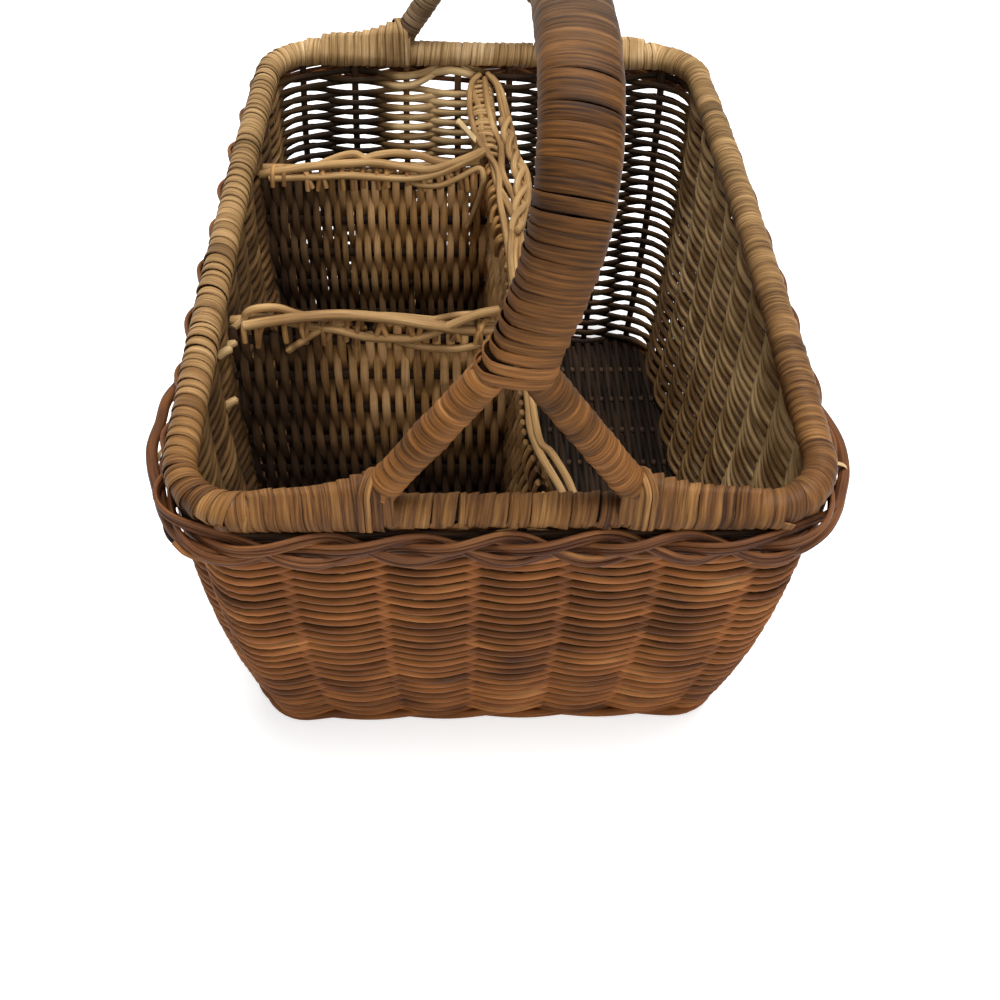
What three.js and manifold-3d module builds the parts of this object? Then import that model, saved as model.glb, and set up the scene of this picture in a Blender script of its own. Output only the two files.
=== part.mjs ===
// A rectangular wicker caddy for cutlery and kitchen tools: a woven wall and base, a wrapped rim hoop
// with a plaited border under it, woven dividers with loose rods on top, and an arched handle of two
// rods that part into four legs. Millimetres, +X to the right, +Y to the back, +Z up, origin on the
// table under the middle of the base. The short side faces -Y.
import * as THREE from "three";
import { mergeVertices } from "three/addons/utils/BufferGeometryUtils.js";
import Module from "manifold-3d";

const wasm = await Module();
wasm.setup();

// General
const clearance = 0.3; // between pieces that touch

// Rim hoop: its centre line is the wall's middle line at the top
const rimFlareX = 3.5; // the rim stands this much further out than the base on the long sides
const rimFlareY = 19; // and on the short ones
const rimCornerRadius = 16;
const rimHeight = 115;
const sideBow = 0.025; // how much narrower the long sides stand at the corners than in the middle
const hoopRadius = 2.9;
const bindingThickness = 1.1;
const bindingSlit = 26; // degrees either side of straight down, where the stakes come in
const footLashingSlit = 60; // the same for the lashings over the feet, which end above the border

// Wall and base
const baseHalfWidth = 69.5;
const baseHalfLength = 84.5;
const baseCornerRadius = 13.5;
const wallSwell = 3; // the walls belly out by this half way up
const stakeDiameter = 2.6;
const weaverDiameter = 1.8;
const courseHeight = 4.3; // a course stands for two rows of weavers
const bareStake = 7.2; // stake left bare between the weave and the hoop
// Stakes on each face, counted round from the front: how far apart they stand, and how far on from
// the face's middle their own middle is, both in shares of the way round.
const faceStakes = [
  { count: 7, pitch: 0.032, shift: 0.006 },
  { count: 9, pitch: 0.0302, shift: -0.003 },
  { count: 8, pitch: 0.0267, shift: 0 },
  { count: 10, pitch: 0.0287, shift: 0.0015 },
];
const baseThickness = 5;
const baseRibHeight = 0.9;
const baseStickPitch = 17;

// Plaited border under the hoop
const borderStrands = 3;
const borderDiameter = 2.3;
const borderDrop = 7.4; // below the hoop's centre line
const borderOut = 4.6; // outside the stakes' middle line
const borderRise = 2.9; // a strand's swing up and down
const borderSway = 1.75; // a strand's swing in and out
const borderRepeats = 11;
const tieThickness = 0.6;
const tieWidth = 2.2;
const tieCorner = 0.86; // where the two front ties stand: share of the way from middle to side

// Dividers
const centreDrop = 11; // its weave ends this far below the hoop's centre line
const crossDrop = 15; // and that of the two that cross to the left
const dividerThickness = 5.6; // over a stake
const dividerWaist = 3.4; // between two stakes
const dividerStakes = 8;
const dividerBackX = 0.5;
const dividerMiddleX = 7;
const dividerFrontX = 16.5;
const dividerTurn = 40; // length of its bend at the front
const crossFrontY = -29;
const crossBackY = 46;
const topRodDiameter = 2.6;
const topRods = 3;
const topRodTurns = 1.25;

// Handle
const gripRise = 91; // centre line of the grip's long top over the hoop's
const uprightInset = 0.5; // the grip's uprights stand this far inside the hoop's ends
const handleBend = 26; // radius of its two upper corners
const handleCrown = 3;
const handleLean = 9.7; // the grip leans to the right by this, most of it low down
const handleRodDiameter = 5.6;
const rodSpacing = 6.2;
const rodFlare = 1.1; // each rod stands this much further out at the crotch
const rodFlareLength = 6;
const crotchRise = 39; // the two rods part this far over the hoop's centre line
const legSpread = 26.5; // half the width between the feet
const footStart = 3; // a foot lies straight from this far outside its leg
const footLength = 25;
const tailDiameter = 1.2; // the foot's tip
const tailTaper = 2.5; // over one: the foot thins quickly next to its leg, then slowly
const gripWrapThickness = 0.9;
const gripWrapLift = 0.6; // slack between the wrap and the rods
const gripWrapTurns = 20;
const gripWrapStart = 2.5; // above the crotch
const gripWrapGap = 0.65;
const legWrapThickness = 0.9;
const legWrapSpan = [0.16, 0.92]; // shares of the way from foot to crotch
const footLashingThickness = 0.9;

const rimHalfWidth = baseHalfWidth + rimFlareX;
const rimHalfLength = baseHalfLength + rimFlareY;
const bindingRadius = hoopRadius + clearance + bindingThickness;
const centreTop = rimHeight - centreDrop;
const crossTop = rimHeight - crossDrop;
const handleHeight = rimHeight + gripRise;
const handleLength = 2 * (rimHalfLength - uprightInset);
const crotchHeight = rimHeight + crotchRise;
const weaveTop = rimHeight - bindingRadius - bareStake;
const wallAtStake = stakeDiameter / 2 + weaverDiameter;
const wallBetween = weaverDiameter / 2;
const wallBehind = 0.4; // outside a stake that the course passes behind

const material = (color, roughness) => new THREE.MeshStandardMaterial({ color, roughness, metalness: 0 });
const finishes = {
  weave: material(0x8a5f42, 0.72),
  floor: material(0x6e4c34, 0.8),
  border: material(0x7d5640, 0.6),
  binding: material(0xb0906a, 0.5),
  rod: material(0x8f6a45, 0.6),
  wrap: material(0x86603f, 0.52),
  pale: material(0xc4a074, 0.6),
};

const caddy = new THREE.Group();
function place(name, geometry, finish) {
  const mesh = new THREE.Mesh(geometry, finish);
  mesh.name = name;
  caddy.add(mesh);
}

// Solids

/**
 * One closed body over a row of rings of points. A closed row meets itself; an open one is capped.
 * Where points carry a rise, each square is folded along its lower corners, so that a high one stands
 * by itself.
 */
function skin(rings, closed) {
  const around = rings[0].length;
  const positions = rings.flat().flatMap((p) => [p.x, p.y, p.z]);
  const index = [];
  const rows = closed ? rings.length : rings.length - 1;
  for (let i = 0; i < rows; i++) {
    const next = (i + 1) % rings.length;
    for (let j = 0; j < around; j++) {
      const k = (j + 1) % around;
      const [a, b] = [i * around + j, i * around + k];
      const [c, d] = [next * around + k, next * around + j];
      const fold = (one, other) => (rings[i][one].rise ?? 0) + (rings[next][other].rise ?? 0);
      if (fold(j, k) <= fold(k, j)) index.push(a, b, c, a, c, d);
      else index.push(a, b, d, b, c, d);
    }
  }
  if (!closed) {
    const last = (rings.length - 1) * around;
    for (const [p, q, r] of capTriangles(rings[0])) index.push(p, r, q);
    for (const [p, q, r] of capTriangles(rings.at(-1))) index.push(last + p, last + q, last + r);
  }
  const geometry = new THREE.BufferGeometry();
  geometry.setAttribute("position", new THREE.Float32BufferAttribute(positions, 3));
  geometry.setIndex(index);
  return facingOut(geometry);
}

/** Triangles over a flat ring of points, turned the way the ring runs. */
function capTriangles(ring) {
  const normal = new THREE.Vector3();
  for (let i = 0; i < ring.length; i++) {
    normal.add(ring[i].clone().cross(ring[(i + 1) % ring.length]));
  }
  normal.normalize();
  const side = ring[1].clone().sub(ring[0]).normalize();
  side.addScaledVector(normal, -side.dot(normal)).normalize();
  const up = normal.clone().cross(side);
  const flat = ring.map((p) => new THREE.Vector2(p.dot(side), p.dot(up)));
  return THREE.ShapeUtils.triangulateShape(flat, []);
}

/** The same surface with its faces turned outwards. */
function facingOut(geometry) {
  const p = geometry.getAttribute("position");
  const index = geometry.getIndex();
  const [a, b, c] = [new THREE.Vector3(), new THREE.Vector3(), new THREE.Vector3()];
  let volume = 0;
  for (let i = 0; i < index.count; i += 3) {
    a.fromBufferAttribute(p, index.getX(i));
    b.fromBufferAttribute(p, index.getX(i + 1));
    c.fromBufferAttribute(p, index.getX(i + 2));
    volume += a.dot(b.cross(c));
  }
  if (volume < 0) {
    for (let i = 0; i < index.count; i += 3) {
      const keep = index.getX(i);
      index.setX(i, index.getX(i + 1));
      index.setX(i + 1, keep);
    }
  }
  return geometry;
}

function solid(geometry) {
  const bare = geometry.clone();
  bare.deleteAttribute("normal");
  bare.deleteAttribute("uv");
  const merged = mergeVertices(bare, 1e-4);
  return new wasm.Manifold(
    new wasm.Mesh({
      numProp: 3,
      vertProperties: new Float32Array(merged.getAttribute("position").array),
      triVerts: new Uint32Array(merged.getIndex().array),
    }),
  );
}

function geometryOf(body) {
  const mesh = body.getMesh();
  const geometry = new THREE.BufferGeometry();
  geometry.setAttribute("position", new THREE.BufferAttribute(mesh.vertProperties, 3));
  geometry.setIndex(new THREE.BufferAttribute(mesh.triVerts, 1));
  return geometry;
}

const mix = (a, b, t) => a + (b - a) * t;
const ease = (t) => THREE.MathUtils.smoothstep(t, 0, 1);

// Plan of the basket

/** Half sizes and corner radius of the wall's middle line at a height. */
function planAt(height) {
  const h = height / rimHeight;
  const swell = 4 * wallSwell * h * (1 - h);
  return {
    a: mix(baseHalfWidth, rimHalfWidth, h) + swell,
    b: mix(baseHalfLength, rimHalfLength, h) + swell,
    r: mix(baseCornerRadius, rimCornerRadius, h),
  };
}

/** Lengths of a quarter of the plan from a short side's middle: its flats and the arc between them. */
const quarterOf = ({ a, b, r }) => ({ flatX: a - r, arc: (Math.PI / 2) * r, flatY: b - r });
const rimPlan = planAt(rimHeight);
const rimQuarter = quarterOf(rimPlan);
const rimLength = 4 * (rimQuarter.flatX + rimQuarter.arc + rimQuarter.flatY);
/** Share of a quarter at which its corner's middle stands, the same at every height. */
const cornerShare = (4 * (rimQuarter.flatX + rimQuarter.arc / 2)) / rimLength;

/** Point on the plan a share of the way round from the front's middle, moved out by a distance. */
function planPoint(plan, share, height, out = 0) {
  const { a, b, r } = plan;
  const { flatX, arc, flatY } = quarterOf(plan);
  const turned = (((share % 1) + 1) % 1) * 4;
  const side = Math.floor(turned);
  // Every other quarter runs back from the middle of a long side.
  const part = side % 2 ? 1 - (turned - side) : turned - side;
  const past = Math.max(0, (part - cornerShare) / (1 - cornerShare));
  const along = (flatX + arc / 2) * Math.min(part / cornerShare, 1) + (arc / 2 + flatY) * past;
  let [x, y, nx, ny] = [along, -b, 0, -1];
  if (along > flatX + arc) {
    [x, y, nx, ny] = [a, -b + r + (along - flatX - arc), 1, 0];
  } else if (along > flatX) {
    const angle = (along - flatX) / r;
    [nx, ny] = [Math.sin(angle), -Math.cos(angle)];
    [x, y] = [flatX + r * nx, -b + r + r * ny];
  }
  const signX = side < 2 ? 1 : -1;
  const signY = side === 0 || side === 3 ? 1 : -1;
  const bowed = x * (1 - sideBow * (y / b) ** 2);
  return new THREE.Vector3(signX * (bowed + nx * out), signY * (y + ny * out), height);
}

/** Shares of the way round at which the stakes stand. */
const stakeShares = faceStakes.flatMap(({ count, pitch, shift }, face) =>
  Array.from({ length: count }, (_, i) => face / 4 + shift + pitch * (i - (count - 1) / 2)),
);

/** Inside face of the wall at its stakes, for what stands against it. */
const insideHalfWidth = (height, y) => {
  const { a, b } = planAt(height);
  return a * (1 - sideBow * (y / b) ** 2) - wallAtStake - clearance;
};
const insideHalfLength = (height) => planAt(height).b - wallAtStake - clearance;

// Wall: plain weave, with the bare stakes standing above it

/** The stakes and, next to the corners, the places half way between two, where the weavers cross. */
const wallStations = stakeShares.flatMap((share, stake) => {
  const next = stakeShares[stake + 1] ?? stakeShares[0] + 1;
  const crossing = (share + next) / 2;
  const quarter = (crossing % 1) * 4;
  const corner = Math.floor(quarter) % 2 ? 1 - cornerShare : cornerShare;
  const halfCorner = (2 * rimQuarter.arc) / rimLength;
  const halfPitch = 2 * (next - share);
  const bent = Math.abs((quarter % 1) - corner) < halfCorner + halfPitch;
  return bent ? [{ share, stake }, { share: crossing }] : [{ share, stake }];
});

function wovenWall() {
  const courses = Math.round(weaveTop / courseHeight);
  // A course passes outside every other stake, and the next one outside the stakes between.
  const riseAt = (stake, course, side) => {
    if (stake === undefined) return wallBetween;
    if (course === 0) return (wallAtStake + wallBetween) / 2;
    return (stake + course) % 2 === side ? wallAtStake : wallBehind;
  };
  const columns = wallStations.map(({ share, stake }) => {
    const face = (side) =>
      Array.from({ length: courses + 1 }, (_, course) => {
        const z = (weaveTop * course) / courses;
        const rise = riseAt(stake, course, side);
        return Object.assign(planPoint(planAt(z), share, z, side ? -rise : rise), { rise });
      });
    return [...face(0), ...face(1).reverse()];
  });
  let wall = solid(skin(columns, true));
  const postFoot = weaveTop - stakeDiameter / 2;
  const postTop = rimHeight - bindingRadius - clearance;
  for (const share of stakeShares) {
    const foot = planPoint(planAt(postFoot), share, postFoot);
    const top = planPoint(planAt(postTop), share, postTop);
    wall = wall.add(solid(rod([foot, top], stakeDiameter / 2, 5)));
  }
  return geometryOf(wall);
}

/** A straight round bar between two points with flat level ends. */
function rod([from, to], radius, sides) {
  const ringAt = (p) =>
    Array.from({ length: sides }, (_, j) => {
      const angle = (2 * Math.PI * j) / sides;
      return new THREE.Vector3(p.x + radius * Math.cos(angle), p.y + radius * Math.sin(angle), p.z);
    });
  return skin([ringAt(from), ringAt(to)], false);
}

// Base: a mat with ribs where its sticks run from front to back, flat underneath

function baseMat() {
  const [a, b] = [baseHalfWidth - wallAtStake - clearance, insideHalfLength(0)];
  const outline = [];
  const cornerSteps = 6;
  const r = baseCornerRadius - wallAtStake;
  for (const [sx, sy, start] of [[1, -1, -90], [1, 1, 0], [-1, 1, 90], [-1, -1, 180]]) {
    for (let i = 0; i <= cornerSteps; i++) {
      const angle = THREE.MathUtils.degToRad(start + (90 * i) / cornerSteps);
      const narrow = 1 - sideBow;
      outline.push([
        sx * (a * narrow - r) + r * Math.cos(angle),
        sy * (b - r) + r * Math.sin(angle),
      ]);
    }
  }
  const plate = new THREE.ExtrudeGeometry(
    new THREE.Shape(outline.map(([x, y]) => new THREE.Vector2(x, y))),
    { depth: baseThickness, bevelEnabled: false },
  );
  const profile = [];
  const overcut = 1; // the ribbed block reaches past the plate by this
  const perStick = 4;
  const half = Math.ceil(a / baseStickPitch) * perStick + perStick / 2;
  for (let i = -half; i <= half; i++) {
    const fall = 0.5 - 0.5 * Math.cos((2 * Math.PI * i) / perStick);
    profile.push(new THREE.Vector2((i * baseStickPitch) / perStick, baseThickness - baseRibHeight * fall));
  }
  const reach = (half * baseStickPitch) / perStick;
  profile.push(new THREE.Vector2(reach, -overcut), new THREE.Vector2(-reach, -overcut));
  const ribs = new THREE.ExtrudeGeometry(new THREE.Shape(profile.reverse()), {
    depth: 2 * (b + overcut),
    bevelEnabled: false,
  });
  ribs.rotateX(Math.PI / 2);
  ribs.translate(0, b + overcut, 0);
  return geometryOf(solid(plate).intersect(solid(ribs)));
}

// Rim hoop, its binding and the plaited border

/** Shares of the way round the rim, close together in the corners. */
const rimShares = (() => {
  const { flatX, arc, flatY } = rimQuarter;
  const steps = [2, 5, 3];
  const marks = [];
  let passed = 0;
  [flatX, arc, flatY].forEach((length, k) => {
    for (let i = 0; i < steps[k]; i++) marks.push((4 * (passed + (length * i) / steps[k])) / rimLength);
    passed += length;
  });
  const back = [...marks.slice(1), 1].reverse().map((mark) => 1 - mark);
  return [0, 1, 2, 3].flatMap((q) => (q % 2 ? back : marks).map((mark) => (q + mark) / 4));
})();
/** Point beside the hoop's centre line: out from the basket and up. */
const besideHoop = (share, out, up) => {
  const p = planPoint(rimPlan, share, rimHeight, out);
  p.z += up;
  return p;
};

function rimHoop() {
  const sides = 5;
  const rings = rimShares.map((share) =>
    Array.from({ length: sides }, (_, j) => {
      const angle = (2 * Math.PI * j) / sides;
      return besideHoop(share, hoopRadius * Math.cos(angle), hoopRadius * Math.sin(angle));
    }),
  );
  return skin(rings, true);
}

/** The cane wrap round the hoop, open underneath for the stakes. */
function rimBinding() {
  const sides = 7;
  const arc = (radius, from, to) =>
    Array.from({ length: sides + 1 }, (_, j) => {
      const angle = THREE.MathUtils.degToRad(mix(from, to, j / sides));
      return [radius * Math.cos(angle), radius * Math.sin(angle)];
    });
  const [start, stop] = [-90 + bindingSlit, 270 - bindingSlit];
  const section = [
    ...arc(bindingRadius, start, stop),
    ...arc(bindingRadius - bindingThickness, stop, start),
  ];
  const rings = rimShares.map((share) => section.map(([out, up]) => besideHoop(share, out, up)));
  return skin(rings, true);
}

function borderStrand(number) {
  const [perRepeat, sides] = [8, 4];
  const steps = borderRepeats * perRepeat;
  const centre = (i) => {
    const phase = (2 * Math.PI * i) / perRepeat;
    const share = (i / perRepeat - number / borderStrands) / borderRepeats;
    const out = borderOut + borderSway * Math.sin(2 * phase);
    return besideHoop(share, out, -borderDrop + borderRise * Math.sin(phase));
  };
  const radius = borderDiameter / 2;
  const up = new THREE.Vector3(0, 0, 1);
  const rings = Array.from({ length: steps }, (_, i) => {
    const along = centre(i + 1).sub(centre(i - 1)).normalize();
    const across = along.clone().cross(up).normalize();
    const over = across.clone().cross(along);
    return Array.from({ length: sides }, (_, j) => {
      const angle = (2 * Math.PI * j) / sides;
      return centre(i)
        .addScaledVector(across, radius * Math.cos(angle))
        .addScaledVector(over, radius * Math.sin(angle));
    });
  });
  return skin(rings, true);
}

/** A short cane tie bent over the border's outside at one of the front corners. */
function borderTie(side) {
  const reach = borderOut + borderSway + borderDiameter / 2 + clearance;
  const top = -borderDrop + borderRise + borderDiameter / 2 + clearance;
  const bottom = -borderDrop - borderRise - borderDiameter / 2 - clearance;
  const bevel = 1.5;
  const outline = (lift) => [
    [borderOut, top + lift],
    [reach - bevel, top + lift],
    [reach + lift, top - bevel],
    [reach + lift, bottom + bevel],
    [reach - bevel, bottom - lift],
    [borderOut, bottom - lift],
  ];
  const section = [...outline(tieThickness), ...outline(0).reverse()];
  const halfSpan = tieWidth / 2 / rimLength;
  const middle = (side * tieCorner * (rimQuarter.flatX + rimQuarter.arc)) / rimLength;
  return skin(
    [-halfSpan, halfSpan].map((turn) =>
      section.map(([out, up]) => besideHoop(middle + turn, out, up)),
    ),
    false,
  );
}

// Dividers: flat weave on level stakes, so each face bulges in level bands

const dividerBottom = baseThickness + clearance;

/** Half thickness of a divider a share of the way up. */
function dividerHalf(share) {
  const wave = Math.cos(2 * Math.PI * dividerStakes * share);
  return mix(dividerThickness, dividerWaist, 0.5 + 0.5 * wave) / 2;
}

/** The centre divider's place across the basket: it runs askew and turns off near the front. */
function dividerX(y) {
  const fromBack = (rimHalfLength - y) / (2 * rimHalfLength - dividerTurn);
  const turn = (dividerTurn - rimHalfLength - y) / dividerTurn;
  return (
    mix(dividerBackX, dividerMiddleX, ease(fromBack)) +
    (dividerFrontX - dividerMiddleX) * Math.max(turn, 0) ** 2
  );
}

/** A woven panel. spot(share, z, out) gives a point a share of the way along it, beside its middle. */
function wovenPanel(spot, top, steps) {
  const levels = 2 * dividerStakes;
  const rises = Array.from({ length: levels + 1 }, (_, k) => k / levels);
  const rings = Array.from({ length: steps + 1 }, (_, i) => {
    const face = (side) =>
      rises.map((rise) => spot(i / steps, mix(dividerBottom, top, rise), side * dividerHalf(rise)));
    return [...face(1), ...face(-1).reverse()];
  });
  return skin(rings, false);
}

const centreSpot = (share, z, out) => {
  const reach = insideHalfLength(z);
  const y = mix(-reach, reach, share);
  return new THREE.Vector3(dividerX(y) + out, y, z);
};
const crossSpot = (y0) => (share, z, out) => {
  const left = -insideHalfWidth(z, y0);
  const right = dividerX(y0 + out) - dividerThickness / 2 - clearance;
  return new THREE.Vector3(mix(left, right, share), y0 + out, z);
};

/** One of the loose rods that lie twisted together along a divider's top. */
function topRod(spot, top, number, turns, steps) {
  const sides = 5;
  const r = topRodDiameter / 2;
  const eccentric = (2 * r + clearance) / Math.sqrt(3);
  const middle = top + clearance + eccentric + r;
  const centre = (i) => {
    const phase = 2 * Math.PI * ((turns * i) / steps + number / topRods);
    const z = middle + eccentric * Math.sin(phase);
    return spot(i / steps, z, eccentric * Math.cos(phase));
  };
  const along = centre(steps).sub(centre(0)).normalize();
  const up = new THREE.Vector3(0, 0, 1);
  const across = along.clone().cross(up).normalize();
  const rings = Array.from({ length: steps + 1 }, (_, i) =>
    Array.from({ length: sides }, (_, j) => {
      const angle = (2 * Math.PI * j) / sides;
      return centre(i)
        .addScaledVector(across, r * Math.cos(angle))
        .addScaledVector(up, r * Math.sin(angle));
    }),
  );
  return skin(rings, false);
}

// Handle

const rodRadius = handleRodDiameter / 2;
const uprightLength = handleHeight - handleBend - crotchHeight;
const bendLength = (Math.PI / 2) * handleBend;
const topLength = handleLength - 2 * handleBend;
const gripLength = 2 * uprightLength + 2 * bendLength + topLength;

/** Frame of the grip's centre line at a distance from the front crotch: point, along and outward. */
function gripAt(distance) {
  const half = gripLength / 2;
  const s = distance > half ? gripLength - distance : distance;
  const front = -handleLength / 2;
  let [y, z, angle] = [front, crotchHeight + s, 0];
  if (s > uprightLength + bendLength) {
    y = front + handleBend + (s - uprightLength - bendLength);
    const share = (2 * (s - uprightLength - bendLength)) / topLength;
    z = handleHeight + handleCrown * (0.5 - 0.5 * Math.cos(Math.PI * share));
    const slope = ((handleCrown * Math.PI) / topLength) * Math.sin(Math.PI * share);
    angle = Math.PI / 2 - Math.atan(slope);
  } else if (s > uprightLength) {
    angle = (s - uprightLength) / handleBend;
    y = front + handleBend * (1 - Math.cos(angle));
    z = handleHeight - handleBend + handleBend * Math.sin(angle);
  }
  const flip = distance > half ? -1 : 1;
  const short = Math.max(0, handleHeight - z) / (handleHeight - crotchHeight);
  return {
    point: new THREE.Vector3(handleLean * (1 - short ** 2), y * flip, z),
    along: new THREE.Vector3(0, Math.sin(angle), Math.cos(angle) * flip),
    outward: new THREE.Vector3(0, -Math.cos(angle) * flip, Math.sin(angle)),
  };
}

/** Distances along the grip, close together in its bends. */
const gripMarks = (() => {
  const bends = 7;
  const rise = [0, rodFlareLength, uprightLength / 2];
  for (let i = 0; i <= bends; i++) rise.push(uprightLength + (bendLength * i) / bends);
  const top = [0.25, 0.5, 0.75].map((share) => uprightLength + bendLength + share * topLength);
  return [...rise, ...top, ...rise.map((mark) => gripLength - mark).reverse()];
})();

/** Half the distance between the two rods' centre lines along the grip, wider at its ends. */
function rodHalfSpacing(distance) {
  const near = Math.min(distance, gripLength - distance);
  return rodSpacing / 2 + rodFlare * Math.max(0, 1 - near / rodFlareLength);
}

const footHeight = (radius) => rimHeight + bindingRadius + clearance + radius;
/** Radius of a foot a share of the way from its leg to its tip. */
const footRadius = (share) => mix(tailDiameter / 2, rodRadius, (1 - share) ** tailTaper);
/** How far a foot reaches from the grip's middle, the same share of the way. */
const footReach = (share) => legSpread + mix(footStart, footLength, share);
const legFoot = (side, end) =>
  new THREE.Vector3(side * legSpread, end * rimHalfLength, footHeight(rodRadius));

/** Shares of the way from foot to crotch at which a leg has a ring. */
const legShares = [0.07, 0.3, 0.6, 0.86];

/** Centre line and radius of one handle rod from its front tail, over the grip, to its back tail. */
function handleRodStations(side) {
  const stations = [];
  const add = (point, radius = rodRadius) => stations.push({ point, radius });
  const endPart = (end) => {
    const part = [];
    for (const share of [1, 0.75, 0.5, 0.25, 0]) {
      const radius = footRadius(share);
      const point = new THREE.Vector3(side * footReach(share), end * rimHalfLength, footHeight(radius));
      part.push({ point, radius });
    }
    const foot = legFoot(side, end);
    const crotch = gripAt(end < 0 ? 0 : gripLength).point;
    crotch.x += side * rodHalfSpacing(0);
    for (const share of legShares) part.push({ point: foot.clone().lerp(crotch, share), radius: rodRadius });
    return part;
  };
  endPart(-1).forEach((s) => add(s.point, s.radius));
  for (const distance of gripMarks) {
    const { point } = gripAt(distance);
    point.x += side * rodHalfSpacing(distance);
    add(point);
  }
  endPart(1).reverse().forEach((s) => add(s.point, s.radius));
  return stations;
}

/** A round bar through stations that each have a point and a radius. */
function barThrough(stations, sides, extra = 0) {
  const tangent = (i) =>
    stations[Math.min(i + 1, stations.length - 1)].point
      .clone()
      .sub(stations[Math.max(i - 1, 0)].point)
      .normalize();
  const side = new THREE.Vector3(0, 1, 0);
  const rings = [];
  let across = side.clone();
  stations.forEach(({ point, radius }, i) => {
    const along = tangent(i);
    across = across.clone().addScaledVector(along, -across.dot(along)).normalize();
    const over = along.clone().cross(across);
    rings.push(
      Array.from({ length: sides }, (_, j) => {
        const angle = (2 * Math.PI * j) / sides;
        return point
          .clone()
          .addScaledVector(across, (radius + extra) * Math.cos(angle))
          .addScaledVector(over, (radius + extra) * Math.sin(angle));
      }),
    );
  });
  return skin(rings, false);
}

/** How soon the wrap, leaving the flat between the rods, turns round the one or the other. */
const gripShoulder = 2.5;

/** Point on the grip's wrap: a distance along the grip, an angle round it and a height off the rods. */
function gripSurface(distance, angle, lift) {
  const { point, outward } = gripAt(distance);
  const halfSpacing = rodHalfSpacing(distance);
  const reach = rodRadius + lift;
  const [c, s] = [Math.cos(angle), Math.sin(angle)];
  point.x += Math.sign(c) * halfSpacing * Math.min(1, Math.abs(c) * gripShoulder) + reach * c;
  return point.addScaledVector(outward, reach * s);
}

/** The cane strip wound round both rods: one unbroken strip. */
function gripWrap() {
  const perTurn = 18;
  const pitch = (gripLength - 2 * gripWrapStart) / (gripWrapTurns + 1);
  const width = pitch - gripWrapGap;
  const steps = gripWrapTurns * perTurn;
  const [inner, outer] = [gripWrapLift, gripWrapLift + gripWrapThickness];
  const start = gripWrapStart + pitch / 2;
  const rings = [];
  for (let i = 0; i <= steps; i++) {
    const angle = (2 * Math.PI * (i + 0.5)) / perTurn;
    const at = start + ((gripLength - 2 * start) * i) / steps;
    const [low, high] = [at - width / 2, at + width / 2];
    rings.push([
      gripSurface(low, angle, inner),
      gripSurface(at, angle, inner),
      gripSurface(high, angle, inner),
      gripSurface(high, angle, outer),
      gripSurface(at, angle, outer),
      gripSurface(low, angle, outer),
    ]);
  }
  let leastGap = Infinity;
  for (let i = 0; i + perTurn <= steps; i++) {
    for (const [edge, other] of [[2, 0], [3, 5]]) {
      leastGap = Math.min(leastGap, rings[i][edge].distanceTo(rings[i + perTurn][other]));
    }
  }
  console.log("grip wrap: least gap to itself " + leastGap.toFixed(2) + " mm");
  return skin(rings, false);
}

/** The cane wrap on one leg, open at both ends. */
function legWrap(side, end) {
  const foot = legFoot(side, end);
  const crotch = gripAt(end < 0 ? 0 : gripLength).point;
  crotch.x += side * rodHalfSpacing(0);
  const stations = (from, to, radius) => [
    { point: foot.clone().lerp(crotch, from), radius },
    { point: foot.clone().lerp(crotch, (from + to) / 2), radius },
    { point: foot.clone().lerp(crotch, to), radius },
  ];
  const inner = rodRadius + clearance;
  const [low, high] = legWrapSpan;
  const over = 0.1; // the bore is cut past both ends
  const tube = solid(barThrough(stations(low, high, inner + legWrapThickness), 10));
  const bore = solid(barThrough(stations(low - over, high + over, inner), 10));
  return geometryOf(tube.subtract(bore));
}

/** The cane wrap that holds one foot down on the bound hoop, open underneath like the binding. */
function footLashing(side, end) {
  const outlineAt = (radius, lift) => {
    const lower = bindingRadius + clearance + lift;
    const upper = radius + clearance + lift;
    const top = footHeight(radius) - rimHeight;
    // The strip runs straight from the binding to the foot, touching both.
    const leave = Math.asin((lower - upper) / top);
    const slit = THREE.MathUtils.degToRad(footLashingSlit);
    const arc = (radius, up, from, to, pieces) =>
      Array.from({ length: pieces + 1 }, (_, k) => {
        const angle = mix(from, to, k / pieces);
        return [radius * Math.cos(angle), up + radius * Math.sin(angle)];
      });
    return [
      ...arc(lower, 0, slit - Math.PI / 2, leave, 3),
      ...arc(upper, top, leave, Math.PI - leave, 4),
      ...arc(lower, 0, Math.PI - leave, 1.5 * Math.PI - slit, 3),
    ];
  };
  const steps = 4;
  const rings = Array.from({ length: steps + 1 }, (_, i) => {
    const x = footReach(i / steps);
    const radius = footRadius(i / steps);
    const section = [
      ...outlineAt(radius, footLashingThickness),
      ...outlineAt(radius, 0).reverse(),
    ];
    return section.map(
      ([out, up]) => new THREE.Vector3(side * x, end * (rimHalfLength + out), rimHeight + up),
    );
  });
  return skin(rings, false);
}

// Assembly

place("woven_wall", wovenWall(), finishes.weave);
place("base_mat", baseMat(), finishes.floor);
place("rim_hoop", rimHoop(), finishes.rod);
place("rim_binding", rimBinding(), finishes.binding);
for (let n = 0; n < borderStrands; n++) {
  place("border_strand_" + (n + 1), borderStrand(n), finishes.border);
}
place("border_tie_left", borderTie(-1), finishes.pale);
place("border_tie_right", borderTie(1), finishes.pale);

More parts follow.
